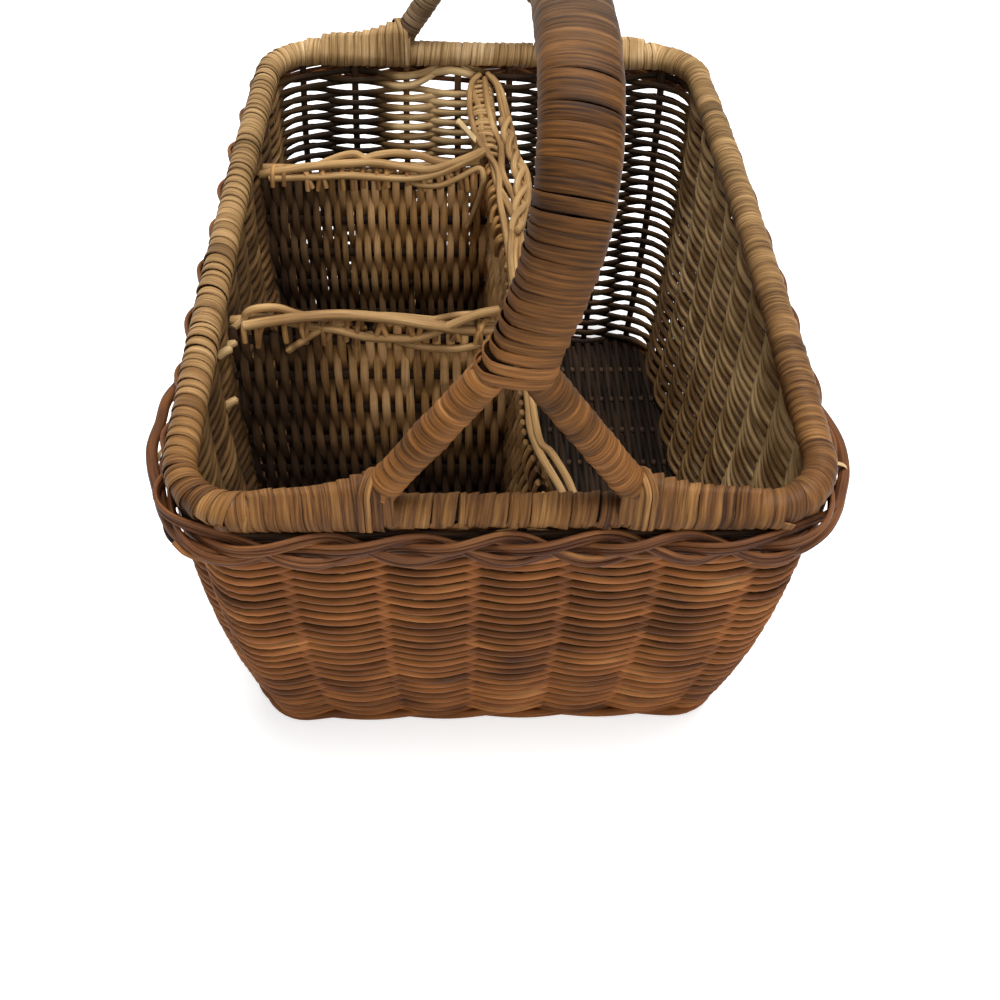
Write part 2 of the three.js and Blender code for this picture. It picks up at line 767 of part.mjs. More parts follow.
const dividers = [
  { name: "centre", spot: centreSpot, top: centreTop, steps: 12, turns: 2 * topRodTurns },
  { name: "front_cross", spot: crossSpot(crossFrontY), top: crossTop, steps: 1, turns: topRodTurns },
  { name: "back_cross", spot: crossSpot(crossBackY), top: crossTop, steps: 1, turns: topRodTurns },
];
const topRodStepsPerTurn = 9;
for (const { name, spot, top, steps, turns } of dividers) {
  place(name + "_divider", wovenPanel(spot, top, steps), finishes.weave);
  for (let n = 0; n < topRods; n++) {
    const rodSteps = Math.round(topRodStepsPerTurn * turns);
    place(name + "_top_rod_" + (n + 1), topRod(spot, top, n, turns, rodSteps), finishes.pale);
  }
}

for (const [name, side] of [["left", -1], ["right", 1]]) {
  place("handle_rod_" + name, barThrough(handleRodStations(side), 8), finishes.rod);
}
place("grip_wrap", gripWrap(), finishes.wrap);
for (const [endName, end] of [["front", -1], ["back", 1]]) {
  for (const [sideName, side] of [["left", -1], ["right", 1]]) {
    place("leg_wrap_" + endName + "_" + sideName, legWrap(side, end), finishes.wrap);
    place("foot_lashing_" + endName + "_" + sideName, footLashing(side, end), finishes.wrap);
  }
}

export default caddy;
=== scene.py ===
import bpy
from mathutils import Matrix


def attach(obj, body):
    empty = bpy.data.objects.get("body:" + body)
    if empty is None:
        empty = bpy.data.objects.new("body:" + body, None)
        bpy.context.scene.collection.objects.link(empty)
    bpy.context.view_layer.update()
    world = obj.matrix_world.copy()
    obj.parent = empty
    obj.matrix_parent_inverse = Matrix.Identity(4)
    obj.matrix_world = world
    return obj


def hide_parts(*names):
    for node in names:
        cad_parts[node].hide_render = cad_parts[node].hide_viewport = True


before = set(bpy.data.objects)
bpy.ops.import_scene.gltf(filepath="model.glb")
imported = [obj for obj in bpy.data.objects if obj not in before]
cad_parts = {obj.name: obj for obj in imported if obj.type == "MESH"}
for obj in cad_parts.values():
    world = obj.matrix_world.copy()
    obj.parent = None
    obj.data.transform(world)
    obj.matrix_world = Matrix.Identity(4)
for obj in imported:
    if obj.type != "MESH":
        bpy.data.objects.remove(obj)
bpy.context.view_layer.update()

import math

import bpy
import numpy as np
from mathutils import Matrix, Vector

# The woven caddy. All sizes are millimetres in the CAD part's frame; meshes are written in metres.
MM = 0.001
TAU = 2 * math.pi

# Plan of the rim and of the base: half width, half depth and corner radius
RIM_A = 73.0
RIM_B = 103.5
RIM_R = 16.0
RIM_Z = 115.0
BASE_A = 69.5
BASE_B = 84.5
BASE_R = 13.5
SIDE_BOW = 0.025
SWELL = 3.0

# Stakes on the front, right, back and left: number, and pitch and shift as shares of the way round
FACE_STAKES = ((7, 0.032, 0.006), (9, 0.0302, -0.003), (8, 0.0267, 0.0), (10, 0.0287, 0.0015))
STAKE_R = 1.2

# Rows of the wall
WEAVE_TOP = 103.5
FIRST_ROW = 3.0
LAST_ROW = WEAVE_TOP - 0.8
WALL_ROWS = 52
BANDS = 3
CLOSER_UP = 0.12
TOP_ROWS = 3
TOP_ROW_PITCH = 1.85
REED_THIN = 0.87
REED_THICK = 1.02

# Places on the wall as shares of the way round from the front's middle
RIGHT_MIDDLE, BACK_MIDDLE, LEFT_MIDDLE = 0.25, 0.5, 0.75
# PAINTED_LIGHT_SPOT is the middle of a patch of painted light on the inside of the back wall.
PAINTED_LIGHT_SPOT = 0.526

# The gap under the back rim: its middle and half width, as the rows and the border go round it
ROWS_GAP = (0.516, 0.014)
BORDER_GAP = (0.517, 0.013)

# Base
FLOOR_TOP = 5.0
FLOOR_MIDDLE = 2.6
FLOOR_REED_R = 1.3
FLOOR_STICK_PITCH = 17.0
FLOOR_REED_PITCH = 1.96

# Rim and the border under it
HOOP_R = 2.9
BORDER_DROP = 7.4
BORDER_OUT = 4.6
BORDER_RISE = 2.9
BORDER_SWAY = 1.75
BORDER_REPEATS = 11
BORDER_STEPS = 56 * BORDER_REPEATS
RIM_TURNS = 236
RIM_STEPS = 20

# Dividers
DIVIDER_TOP = 106.0
FRONT_CROSS_Y = -29.0
BACK_CROSS_Y = 46.0
FRONT_RODS_Z = 106.4
BACK_RODS_Z = 106.8
DIVIDER_BACK_X = 0.5
DIVIDER_MIDDLE_X = 7.0
DIVIDER_FRONT_X = 16.5
DIVIDER_TURN = 40.0
DIVIDER_STAKES = 8
DIVIDER_PITCH = 1.65
CENTRE_LENGTH = 190.0
CROSS_LENGTH = 68.0
WALL_INSIDE = STAKE_R + 1.8

# Handle
GRIP_Z = 206.0
GRIP_Y = 103.0
GRIP_BEND = 26.0
GRIP_CROWN = 3.0
GRIP_LEAN = 9.7
GRIP_TURNS = 118
GRIP_STEPS = 30
CROTCH_Z = 154.0
ROD_R = 2.8
ROD_HALF_SPACING = 3.1
ROD_FLARE = 1.1
ROD_FLARE_LENGTH = 6.0
LEG_SPREAD = 26.5
LEG_STRIP = 2.4
LEG_STEPS = 20
FOOT_START = 3.0
FOOT_LENGTH = 25.0
FOOT_LIFT = 4.6
FOOT_TURNS = 13
FOOT_STRIP = 2.85
FOOT_STEPS = 26
FOOT_RUN_OUT = 9.0
TIP_R = 0.6
TIP_TAPER = 2.5


# Curves and noise
def dice(seed):
    """Random numbers that come out the same each run."""
    return np.random.default_rng(seed)


def ripple(t, rng, lowest, highest, terms=4):
    """Smooth random wave of t in [0, 1), about -1 to 1, that meets itself at the ends."""
    total = np.zeros_like(np.asarray(t, float))
    for _ in range(terms):
        total += rng.uniform(0.5, 1.0) * np.sin(TAU * (rng.integers(lowest, highest + 1) * t + rng.random()))
    return total / (1.1 * math.sqrt(terms))


def bump(x, middle, half_width):
    """Smooth hill of height one."""
    return np.exp(-((np.asarray(x, float) - middle) / half_width) ** 2)


def mix(a, b, t):
    """From a at nought to b at one."""
    return a + (b - a) * t


def ease(t):
    """Smooth step from nought to one."""
    t = np.clip(t, 0, 1)
    return t * t * (3 - 2 * t)


def unit(v):
    """Vectors brought to length one."""
    return v / np.maximum(np.linalg.norm(v, axis=-1, keepdims=True), 1e-9)


def smooth_path(points, per_span=8):
    """Catmull-Rom curve through a few points."""
    p = np.asarray(points, float)
    p = np.concatenate([2 * p[:1] - p[1:2], p, 2 * p[-1:] - p[-2:-1]])
    t = np.arange(per_span)[:, None] / per_span
    spans = []
    for a, b, c, d in zip(p, p[1:], p[2:], p[3:]):
        spans.append(0.5 * (2 * b + (c - a) * t + (2 * a - 5 * b + 4 * c - d) * t ** 2
                            + (3 * b - a - 3 * c + d) * t ** 3))
    return np.concatenate(spans + [p[-2:-1]])


# Strands
GRAIN_SHIFT_X = 37.0
GRAIN_SHIFT_Y = 11.0
CAP_RISE = 0.5
SHARP_ANGLE = math.radians(55)


def ring(sides):
    """Unit points of a round section."""
    angle = TAU * np.arange(sides) / sides
    return np.stack([np.cos(angle), np.sin(angle)], 1)


# A round reed, and a flat strip with a slightly domed outer face: unit half width by unit half thickness
ROUND = ring(8)
STRIP = np.array([
    (-0.96, -1.0), (0.96, -1.0), (1.0, -0.1), (0.95, 0.55), (0.72, 0.92), (0.0, 1.1),
    (-0.72, 0.92), (-0.95, 0.55), (-1.0, -0.1),
])


class Strands:
    """Gathers swept strands into one mesh with the attributes that the cane materials read."""

    def __init__(self, rng=None):
        self.rng = rng
        self.verts, self.quads, self.tris = [], [], []
        self.grain, self.tone, self.edge, self.inner = [], [], [], []
        self.count = 0

    def add(self, path, half_width, half_height=None, up=(0, 0, 1), closed=False, section=ROUND,
            tone=0.5, inner=0.0, tilt=0.0, seed=None):
        """Sweeps a section along a path, with its outer face towards up. Widths, tilt, tone and inner are
        numbers or given along the path; tone and inner may also be given for every vertex. The seed
        moves the grain."""
        seed = self.rng.uniform(0, 20) if seed is None else seed
        path = np.asarray(path, float)
        rows, sides = len(path), len(section)

        def column(values):
            return np.broadcast_to(np.asarray(values, float), (rows,))[:, None]

        def sheet(values):
            return np.ones((rows, sides)) * (values if np.ndim(values) == 2 else column(values))

        if closed:
            along = unit(np.roll(path, -1, 0) - np.roll(path, 1, 0))
        else:
            along = unit(np.gradient(path, axis=0))
        side = unit(np.cross(along, np.broadcast_to(np.asarray(up, float), path.shape)))
        over = np.cross(side, along)
        wide = column(half_width)
        high = column(half_width if half_height is None else half_height)
        x = section[None, :, 0] * wide
        y = section[None, :, 1] * high + section[None, :, 0] * column(tilt)
        verts = path[:, None] + x[..., None] * side[:, None] + y[..., None] * over[:, None]
        steps = np.linalg.norm(np.diff(path, axis=0), axis=1)
        run = np.concatenate([[0], np.cumsum(steps)])[:, None] * np.ones((1, sides))
        grain = np.stack([x + GRAIN_SHIFT_X * seed, y + GRAIN_SHIFT_Y * seed, run], -1)
        tone, inner = sheet(tone), sheet(inner)

        first = self.count
        i = np.arange(rows if closed else rows - 1)[:, None]
        j = np.arange(sides)[None, :]
        row, next_row = i * sides, (i + 1) % rows * sides
        next_j = (j + 1) % sides
        quads = np.stack([next_row + j, next_row + next_j, row + next_j, row + j], -1)
        self.quads.append(quads.reshape(-1, 4) + first)
        self.verts.append(verts.reshape(-1, 3))
        self.grain.append(grain.reshape(-1, 3))
        self.tone.append(tone.reshape(-1))
        self.inner.append(inner.reshape(-1))
        self.edge.append(np.tile(np.abs(section[:, 0]) ** 4 * (section is STRIP), rows))
        self.count += rows * sides
        if not closed:
            for end, way in ((0, -1), (rows - 1, 1)):
                point = path[end] + way * along[end] * high[end] * CAP_RISE
                self.cap(first + end * sides, way, point, grain[end], tone[end, :1], inner[end, :1])

    def cap(self, first, way, point, grain, tone, inner):
        """Closes one end of a strand with a low point. way is -1 at its start and 1 at its end."""
        sides = len(grain)
        self.verts.append(point[None])
        self.grain.append(grain.mean(0)[None])
        self.tone.append(tone)
        self.inner.append(inner)
        self.edge.append(np.zeros(1))
        here = first + np.arange(sides)
        beyond = first + (np.arange(sides) + 1) % sides
        tip = np.full(sides, self.count)
        self.tris.append(np.stack([here, beyond, tip] if way < 0 else [beyond, here, tip], -1))
        self.count += 1

    def mesh(self, name):
        """Makes the mesh, in metres."""
        quads = np.concatenate(self.quads)
        tris = np.concatenate(self.tris) if self.tris else np.zeros((0, 3), int)
        verts = np.concatenate(self.verts) * MM
        mesh = bpy.data.meshes.new(name)
        mesh.vertices.add(len(verts))
        mesh.vertices.foreach_set("co", verts.astype(np.float32).ravel())
        corners = np.concatenate([quads.ravel(), tris.ravel()]).astype(np.int32)
        mesh.loops.add(len(corners))
        mesh.loops.foreach_set("vertex_index", corners)
        starts = np.concatenate([4 * np.arange(len(quads)), 4 * len(quads) + 3 * np.arange(len(tris))])
        mesh.polygons.add(len(starts))
        mesh.polygons.foreach_set("loop_start", starts.astype(np.int32))
        mesh.update(calc_edges=True)
        mesh.validate()
        mesh.polygons.foreach_set("use_smooth", np.ones(len(starts), bool))
        mesh.set_sharp_from_angle(angle=SHARP_ANGLE)
        for key, values in (("tone", self.tone), ("edge", self.edge), ("inner", self.inner)):
            layer = mesh.attributes.new(key, "FLOAT", "POINT")
            layer.data.foreach_set("value", np.concatenate(values).astype(np.float32))
        layer = mesh.attributes.new("grain", "FLOAT_VECTOR", "POINT")
        layer.data.foreach_set("vector", np.concatenate(self.grain).astype(np.float32).ravel())
        return mesh


def seeded(seed):
    """Random numbers, and strands that draw their grain from them."""
    rng = dice(seed)
    return rng, Strands(rng)


def piece(name, strands, material, slot, *nodes):
    """Makes a piece of the strands that stands for these CAD nodes."""
    mesh = strands.mesh(name)
    mesh.materials.append(material)
    obj = bpy.data.objects.new(name, mesh)
    bpy.context.scene.collection.objects.link(obj)
    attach(obj, "root")
    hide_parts(*nodes)


# Materials
TONE_GAIN = 0.5
LINE_STRETCH = 0.07
PATCH_SCALE = 42.0
SPOT_SCALE = 70.0
SPOT_START = 0.6
SPOT_GAIN = 6.0
LINE_ROUGHNESS = 0.25
GLOSS = 0.13
BUMP_STRENGTH = 0.6
BUMP_HEIGHT = 0.12
EDGE_SHADE = "2a1a10"
STAIN_SHADE = "2b2420"


def linear(code):
    """Linear colour of an sRGB hex code."""
    channels = [int(code[i:i + 2], 16) / 255 for i in (0, 2, 4)]
    return [c / 12.92 if c <= 0.04045 else ((c + 0.055) / 1.055) ** 2.4 for c in channels] + [1.0]


def feed(tree, socket, value):
    """Links another socket to a socket, or sets its value."""
    if isinstance(value, bpy.types.NodeSocket):
        tree.links.new(value, socket)
    else:
        socket.default_value = value


def maths(tree, operation, a, b, clamp=False):
    """Output of a maths node."""
    made = tree.nodes.new("ShaderNodeMath")
    made.operation = operation
    made.use_clamp = clamp
    feed(tree, made.inputs[0], a)
    feed(tree, made.inputs[1], b)
    return made.outputs[0]


def cane(name, outer, inner=None, roughness=0.5, streak=0.35, blotch=0.3, edge=0.0, stain=0.3, fineness=2.2):
    """Cane: ramps from dark to light for its two kinds of face, streaked along the strand. On the divider
    cane the second ramp is painted shade.
    """
    material = bpy.data.materials.new(name)
    material.use_nodes = True
    tree = material.node_tree
    shader = tree.nodes["Principled BSDF"]

    def node(kind, vector=None, **values):
        """A node with its settings; in_2 is the value of its third input."""
        made = tree.nodes.new("ShaderNode" + kind)
        for key, value in values.items():
            if key.startswith("in_"):
                made.inputs[int(key[3:])].default_value = value
            else:
                setattr(made, key, value)
        if vector is not None:
            tree.links.new(vector, made.inputs[0])
        return made

    def attribute(key, output="Fac"):
        return node("Attribute", attribute_name=key).outputs[output]

    def scaled(vector, factors):
        return node("VectorMath", vector, operation="MULTIPLY", in_1=factors).outputs[0]

    def noise(vector, scale, detail, rough):
        return node("TexNoise", vector, in_2=scale, in_3=detail, in_4=rough).outputs[0]

    def ramp(factor, codes):
        made = node("ValToRGB", factor)
        elements = made.color_ramp.elements
        codes = codes.split()
        for _ in codes[2:]:
            elements.new(0.5)
        for k, code in enumerate(codes):
            elements[k].position = k / (len(codes) - 1)
            elements[k].color = linear(code)
        return made.outputs[0]

    def blend(factor, a, b):
        made = node("Mix", data_type="RGBA")
        for k, value in ((0, factor), (6, a), (7, b)):
            feed(tree, made.inputs[k], value)
        return made.outputs[2]

    def centred(value, gain):
        return maths(tree, "MULTIPLY", maths(tree, "SUBTRACT", value, 0.5), gain)

    places = node("TexCoord").outputs["Object"]
    lines = noise(scaled(attribute("grain", "Vector"), (fineness, fineness, LINE_STRETCH)), 1.0, 4.0, 0.6)
    patches = noise(places, PATCH_SCALE, 3.0, 0.55)
    spots = noise(scaled(places, (0.6, 0.6, 1.6)), SPOT_SCALE, 4.0, 0.6)
    factor = maths(tree, "ADD", centred(attribute("tone"), TONE_GAIN), 0.5)
    factor = maths(tree, "ADD", factor, centred(lines, 2 * streak))
    factor = maths(tree, "ADD", factor, centred(patches, 2 * blotch), True)
    colour = ramp(factor, outer)
    if inner:
        colour = blend(attribute("inner"), colour, ramp(factor, inner))
    # Painted shade along a flat strip's edges, where the seams between turns lie in shade.
    if edge:
        colour = blend(maths(tree, "MULTIPLY", attribute("edge"), edge), colour, linear(EDGE_SHADE))
    stained = maths(tree, "SUBTRACT", spots, SPOT_START, True)
    stained = maths(tree, "MULTIPLY", stained, SPOT_GAIN, True)
    colour = blend(maths(tree, "MULTIPLY", stained, stain), colour, linear(STAIN_SHADE))
    tree.links.new(colour, shader.inputs["Base Color"])
    rough = maths(tree, "ADD", maths(tree, "MULTIPLY", lines, LINE_ROUGHNESS), roughness - 0.12)
    tree.links.new(rough, shader.inputs["Roughness"])
    shader.inputs["Specular IOR Level"].default_value = GLOSS
    height = node("Bump", in_0=BUMP_STRENGTH, in_1=BUMP_HEIGHT * MM)
    tree.links.new(lines, height.inputs["Height"])
    tree.links.new(height.outputs[0], shader.inputs["Normal"])
    return material


# DARK is a near-black ramp, used as painted shade: the wall's stakes take it because they sit in shade
# between the weavers, and the rods because they show in the seams of their windings.
DARK = "170e08 2e1e12 4a331e 6b4d2f"
WALL = cane("wall_cane", "2b180b 603719 92592c bf824a", "261a0f 553f25 856740 e6c48e",
            roughness=0.6, stain=0.7, blotch=0.35)
STAKE = cane("stake_cane", DARK, roughness=0.65)
BORDER = cane("border_cane", "22120a 482816 6f4526 a06f40", roughness=0.5, stain=0.4, streak=0.5)
BINDING = cane("binding_cane", "4e3922 8b6c43 b79465 dcbe92", "331d0d 664222 8c6336 b68a59",
               roughness=0.55, edge=0.45, fineness=1.8, streak=0.8)
WRAP = cane("wrap_cane", "2e1b0c 633f1c 905e30 ba8a57", "382a1f 67503a 8f7659 b59e80",
            roughness=0.58, edge=0.35, fineness=1.8, streak=0.7)
PALE = cane("pale_cane", "4e3a22 8a6841 b5905f dcbe8c", roughness=0.5, stain=0.3, streak=0.5)
# The divider cane's first ramp is the lit cane and its second a darker copy, as painted shade; the inner
# attribute mixes them.
INSIDE = cane("divider_cane", "36251a 7a5737 b0844e e4b67e", "1a120b 302218 4d3927 6f553b", roughness=0.6)
ROD = cane("rod_cane", DARK, roughness=0.65)


# Plan of the basket
RIM_FLAT_X, RIM_ARC, RIM_FLAT_Y = RIM_A - RIM_R, math.pi / 2 * RIM_R, RIM_B - RIM_R
RIM_LENGTH = 4 * (RIM_FLAT_X + RIM_ARC + RIM_FLAT_Y)
CORNER_SHARE = 4 * (RIM_FLAT_X + RIM_ARC / 2) / RIM_LENGTH


def plan_at(z):
    """Half width, half depth and corner radius of the wall at a height."""
    h = np.asarray(z, float) / RIM_Z
    swell = 4 * SWELL * h * (1 - h)
    return mix(BASE_A, RIM_A, h) + swell, mix(BASE_B, RIM_B, h) + swell, mix(BASE_R, RIM_R, h)


def plan_point(share, z, out=0.0):
    """Points on the wall's middle line a share of the way round from the front's middle, moved out."""
    share, z, out = np.broadcast_arrays(*[np.asarray(v, float) for v in (share, z, out)])
    a, b, r = plan_at(z)
    flat_x, flat_y, arc = a - r, b - r, math.pi / 2 * r
    turned = (share % 1.0) * 4
    side = np.floor(turned)
    part = np.where(side % 2 == 1, 1 - (turned - side), turned - side)
    past = np.maximum(0, (part - CORNER_SHARE) / (1 - CORNER_SHARE))
    along = (flat_x + arc / 2) * np.minimum(part / CORNER_SHARE, 1) + (arc / 2 + flat_y) * past
    angle = np.clip((along - flat_x) / r, 0, math.pi / 2)
    nx, ny = np.sin(angle), -np.cos(angle)
    x = np.minimum(along, flat_x) + r * nx
    y = -b + r + r * ny + np.maximum(along - flat_x - arc, 0)
    sx = np.where(side < 2, 1, -1)
    sy = np.where((side == 0) | (side == 3), 1, -1)
    bowed = x * (1 - SIDE_BOW * (y / b) ** 2)
    return np.stack([sx * (bowed + nx * out), sy * (y + ny * out), z], -1)


def rim_point(share, out, up):
    """Points a share of the way round the rim, moved out and up."""
    point = plan_point(share, RIM_Z, out)
    point[..., 2] += up
    return point


# Every stake's share of the way round, and the first one's again after a full turn
STAKE_MARKS = [face / 4 + shift + pitch * (i - (count - 1) / 2)
               for face, (count, pitch, shift) in enumerate(FACE_STAKES) for i in range(count)]
STAKES = len(STAKE_MARKS)
STAKE_MARKS.append(STAKE_MARKS[0] + 1)


def share_of(index):
    """Share of the way round at a place counted in stakes."""
    return np.interp(index % STAKES, np.arange(STAKES + 1), STAKE_MARKS)


SEAM_STAKE = 17.5


def round_trip(per_stake):
    """Places all the way round, counted in stakes from the back, where the grain of closed rows begins."""
    return SEAM_STAKE + np.arange(STAKES * per_stake) / per_stake


# Wall
def zone(place, middle, half_width, fade):
    """One near a place on the wall, fading to nought beyond half_width."""
    return 1 - ease((np.abs(place - middle) - half_width) / fade)


def wall_row(strands, rng, index, row, z, pitch):
    """One weaver that passes outside every other stake and inside those between."""
    share = share_of(index)
    place = share % 1
    z = z + 0.2 * ripple(index / STAKES, rng, 2, 9) + 0.12 * ripple(index / STAKES, rng, 10, 34)
    reed = min(max(0.47 * pitch, REED_THIN), REED_THICK) * rng.uniform(0.95, 1.05)
    beat = np.cos(math.pi * (index + row))
    out = (STAKE_R + reed - 0.1) * beat + 0.1 * ripple(index / STAKES, rng, 9, 30)
    between = 1 - np.abs(beat)
    tone = 0.5 + 0.1 * rng.standard_normal() + 0.22 * ripple(index / STAKES, rng, 2, 8)
    tone = tone + 0.2 * ripple(index / STAKES, rng, 12, 40)
    # Painted light and shade on the wall's inside: a patch of painted light on the back, painted shadow over
    # the rest of the back, painted light on the right wall, stronger higher up, and painted shade on the
    # left wall.
    painted_light = zone(place, PAINTED_LIGHT_SPOT, 0.016, 0.018)
    painted_shadow = zone(place, BACK_MIDDLE, 0.09, 0.03) * (1 - painted_light)
    right = zone(place, RIGHT_MIDDLE, 0.1, 0.04)
    left = bump(place, LEFT_MIDDLE, 0.1)
    inside = np.clip(0.5 - ROUND[:, 0], 0, 1)[None, :]
    shade = 0.8 * painted_light - 1.1 * painted_shadow + (0.3 + 0.4 * ease(z / 80)) * right - 0.3 * left
    # Painted shade on the side of each reed that lies back against the stakes.
    recess_shade = np.clip(-beat[:, None] * ROUND[None, :, 0], 0, 1)
    shade = shade[:, None] * inside - 0.6 * recess_shade
    fuller = 0.34 * painted_light + 0.1 * painted_shadow + 0.34 * right + 0.08 * left
    strands.add(plan_point(share, z, out), reed * 0.95, reed * (1.16 - 0.09 * between) * (1 + fuller),
                closed=True, tone=tone[:, None] + shade, inner=inside * np.ones((len(index), 1)))


def wall_rows():
    """The rows from the base up, in a few bands. They lie closer together towards the top."""
    index = round_trip(8)
    height = LAST_ROW - FIRST_ROW
    bands = []
    for band in range(BANDS):
        rng, strands = seeded(100 + band)
        for row in range(band * WALL_ROWS // BANDS, (band + 1) * WALL_ROWS // BANDS):
            t = (row + 0.5) / WALL_ROWS
            pitch = height / WALL_ROWS * (1 + CLOSER_UP - 2 * CLOSER_UP * t)
            z = FIRST_ROW + height * t * (1 + CLOSER_UP - CLOSER_UP * t)
            wall_row(strands, rng, index, row, z, pitch)
        bands.append(strands)
    return bands


def top_rows():
    """The last rows next to the border, raised over a gap at one place on the back."""
    rng, strands = seeded(106)
    index = round_trip(8)
    raised = bump(share_of(index) % 1, *ROWS_GAP)
    for row in range(TOP_ROWS):
        z = WEAVE_TOP + 0.7 + TOP_ROW_PITCH * row + (6.0 - 1.6 * row) * raised
        wall_row(strands, rng, index, WALL_ROWS + row, z, 2.0)
    return strands


def wall_stakes():
    """Upright stakes from the base into the rim, painted lighter where the back wall has its patch of
    painted light.
    """
    rng, strands = seeded(31)
    z = np.linspace(0.8, RIM_Z - 3.4, 26)
    for mark in STAKE_MARKS[:-1]:
        drift = 0.3 * ripple(z / 160, rng, 1, 3) / RIM_LENGTH
        strands.add(plan_point(mark + drift, z), STAKE_R * rng.uniform(0.94, 1.08),
                    tone=rng.uniform(0.2, 0.8) + 2.6 * bump(mark, PAINTED_LIGHT_SPOT, 0.018),
                    up=(0.3, 1, 0))
    return strands


def foot_pair():
    """Two thicker reeds twisted round the bottom edge, 15 half turns to 17 stakes."""
    rng, strands = seeded(32)
    index = round_trip(10)
    for half in (0, 1):
        turn = math.pi * (index * 15 / 17 + half)
        path = plan_point(share_of(index), 2.3 + 0.9 * np.sin(turn), 1.3 + 0.9 * np.cos(turn))
        strands.add(path, 1.4, 1.35, closed=True, tone=0.45 + 0.3 * ripple(index / STAKES, rng, 2, 7))
    return strands


# Base mat
def base_weave():
    """Cross sticks with reeds woven over and under them from front to back, in the divider cane's painted
    shade ramp.
    """
    rng, strands = seeded(41)
    half_x, half_y, corner = BASE_A + 0.5, BASE_B + 0.5, BASE_R + 0.5

    def reach(v, half_v, half_w):
        """How far a stick at v reaches before the rounded corner."""
        over = max(abs(v) - (half_v - corner), 0)
        return half_w - corner + math.sqrt(max(corner ** 2 - over ** 2, 0))

    def bowed(x, y):
        return x * (1 - SIDE_BOW * (y / BASE_B) ** 2)

    for y in np.arange(-4, 5) * FLOOR_STICK_PITCH:
        x_end = bowed(reach(y, half_y, half_x), y)
        path = np.stack([np.linspace(-x_end, x_end, 30), np.full(30, y), np.full(30, FLOOR_MIDDLE)], -1)
        strands.add(path, FLOOR_REED_R, tone=rng.uniform(0.2, 0.6), inner=1.0)
    count = int(half_x / FLOOR_REED_PITCH)
    for k in range(-count, count + 1):
        x = k * FLOOR_REED_PITCH
        y_end = reach(x, half_x, half_y)
        y = np.linspace(-y_end, y_end, 76)
        z = FLOOR_MIDDLE + 1.12 * np.cos(math.pi * (y / FLOOR_STICK_PITCH + k))
        path = np.stack([bowed(x + 0.12 * ripple(y / 300, rng, 2, 6), y), y, z], -1)
        strands.add(path, FLOOR_REED_R, 0.95, tone=rng.uniform(-0.6, 0.1), inner=1.0)
    return strands


# Border
def beside(path, across, over):
    """Closed path moved sideways in the wall's face and out of it."""
    along = unit(np.roll(path, -1, 0) - np.roll(path, 1, 0))
    side = unit(np.cross(along, [0, 0, 1.0]))
    up = np.cross(side, along)
    return path + up * across[:, None] + side * over[:, None]


def border_strands():
    """Three plaited strands of three thin reeds each, raised over the gap on the back."""
    made = []
    share = np.arange(BORDER_STEPS) / BORDER_STEPS
    raised = 1.5 * bump(share, *BORDER_GAP)
    for number in range(3):
        rng = dice(51 + number)
        phase = TAU * (BORDER_REPEATS * share + number / 3) + 0.3 * ripple(share, rng, 3, 8)
        out = BORDER_OUT + 0.2 + BORDER_SWAY * np.sin(2 * phase) + 0.25 * ripple(share, rng, 9, 20)
        up = -BORDER_DROP + raised + (BORDER_RISE + 0.3 * ripple(share, rng, 5, 14)) * np.sin(phase)
        path = rim_point(share, out, up)
        strands = Strands(rng)
        for place in (-1, 0, 1):
            apart = 1.08 * place + 0.22 * ripple(share, rng, 6, 18)
            # Painted highlight: the top reed of each strand is lighter and the bottom one darker, as if lit
            # from above.
            strands.add(beside(path, apart, 0.3 * ripple(share, rng, 6, 20)), rng.uniform(0.56, 0.66),
                        closed=True, tone=0.5 + 0.2 * place + 0.3 * ripple(share, rng, 2, 10))
        made.append(strands)
    return made


def border_fillers():
    """Thin reeds that leave the border and slip under the first rows of the weave."""
    rng, strands = seeded(57)
    for _ in range(22):
        start = rng.random()
        length = rng.uniform(0.03, 0.075)
        t = np.linspace(0, 1, 24)
        up = mix(-BORDER_DROP - 2.6, -BORDER_DROP - rng.uniform(4.0, 5.6), t)
        out = mix(3.6, rng.uniform(0.8, 1.8), t ** 2) + 0.8 * np.sin(math.pi * t)
        strands.add(rim_point(start + length * t * rng.choice([-1, 1]), out, up), rng.uniform(0.5, 0.7),
                    tone=rng.uniform(0.5, 1.0))
    return strands


def border_backing():
    """Dark reeds that close the gap between the border and the rim on the front, nearly black as painted
    shade in that gap.
    """
    rng, strands = seeded(58)
    share = np.linspace(-0.135, 0.135, 150)
    for up, out in ((-6.4, 2.2), (-5.0, 2.4)):
        strands.add(rim_point(share, out, up + 0.3 * ripple(share + 0.2, rng, 9, 20)), 0.75,
                    tone=rng.uniform(0.0, 0.4))
    return strands


def loose_reed(points, radius, tone, seed, flat):
    """One reed through a few points."""
    strands = Strands()
    strands.add(smooth_path(points), radius, radius * flat, tone=tone, seed=seed)
    return strands


# Wound strips
def winding(rng, turns, steps, spot, width, tone, inner, closed=False, lift=0.3, thick=0.2,
            tone_spread=0.2, lean=0.12, seams=0.16):
    """A cane strip wound along something. spot(place, angle, lift) gives a point and its outward normal,
    with place in turns. Some turns leave a dark seam."""
    t = np.arange(turns * steps + (0 if closed else 1)) / steps
    knots = np.arange(turns + 2)

    def per_turn(spread):
        return np.interp(t, knots, rng.standard_normal(len(knots)) * spread)

    seam = np.interp(t, knots, (rng.random(len(knots)) < seams).astype(float))
    raise_by = lift + np.clip(per_turn(0.05), -0.1, 0.14) + 0.1 * seam
    path, normal = spot(t + per_turn(0.04), TAU * t, raise_by)
    half = 0.5 * width * (1.1 + np.clip(per_turn(0.06), -0.1, 0.16) - 0.14 * seam)
    tones = np.clip(tone + per_turn(tone_spread), -0.4, 1.1)
    strands = Strands(rng)
    strands.add(path, half, thick, up=normal, closed=closed, section=STRIP, tone=tones, inner=inner,
                tilt=half * (lean + np.clip(per_turn(0.05), -0.08, 0.1) + 0.06 * seam))
    return strands


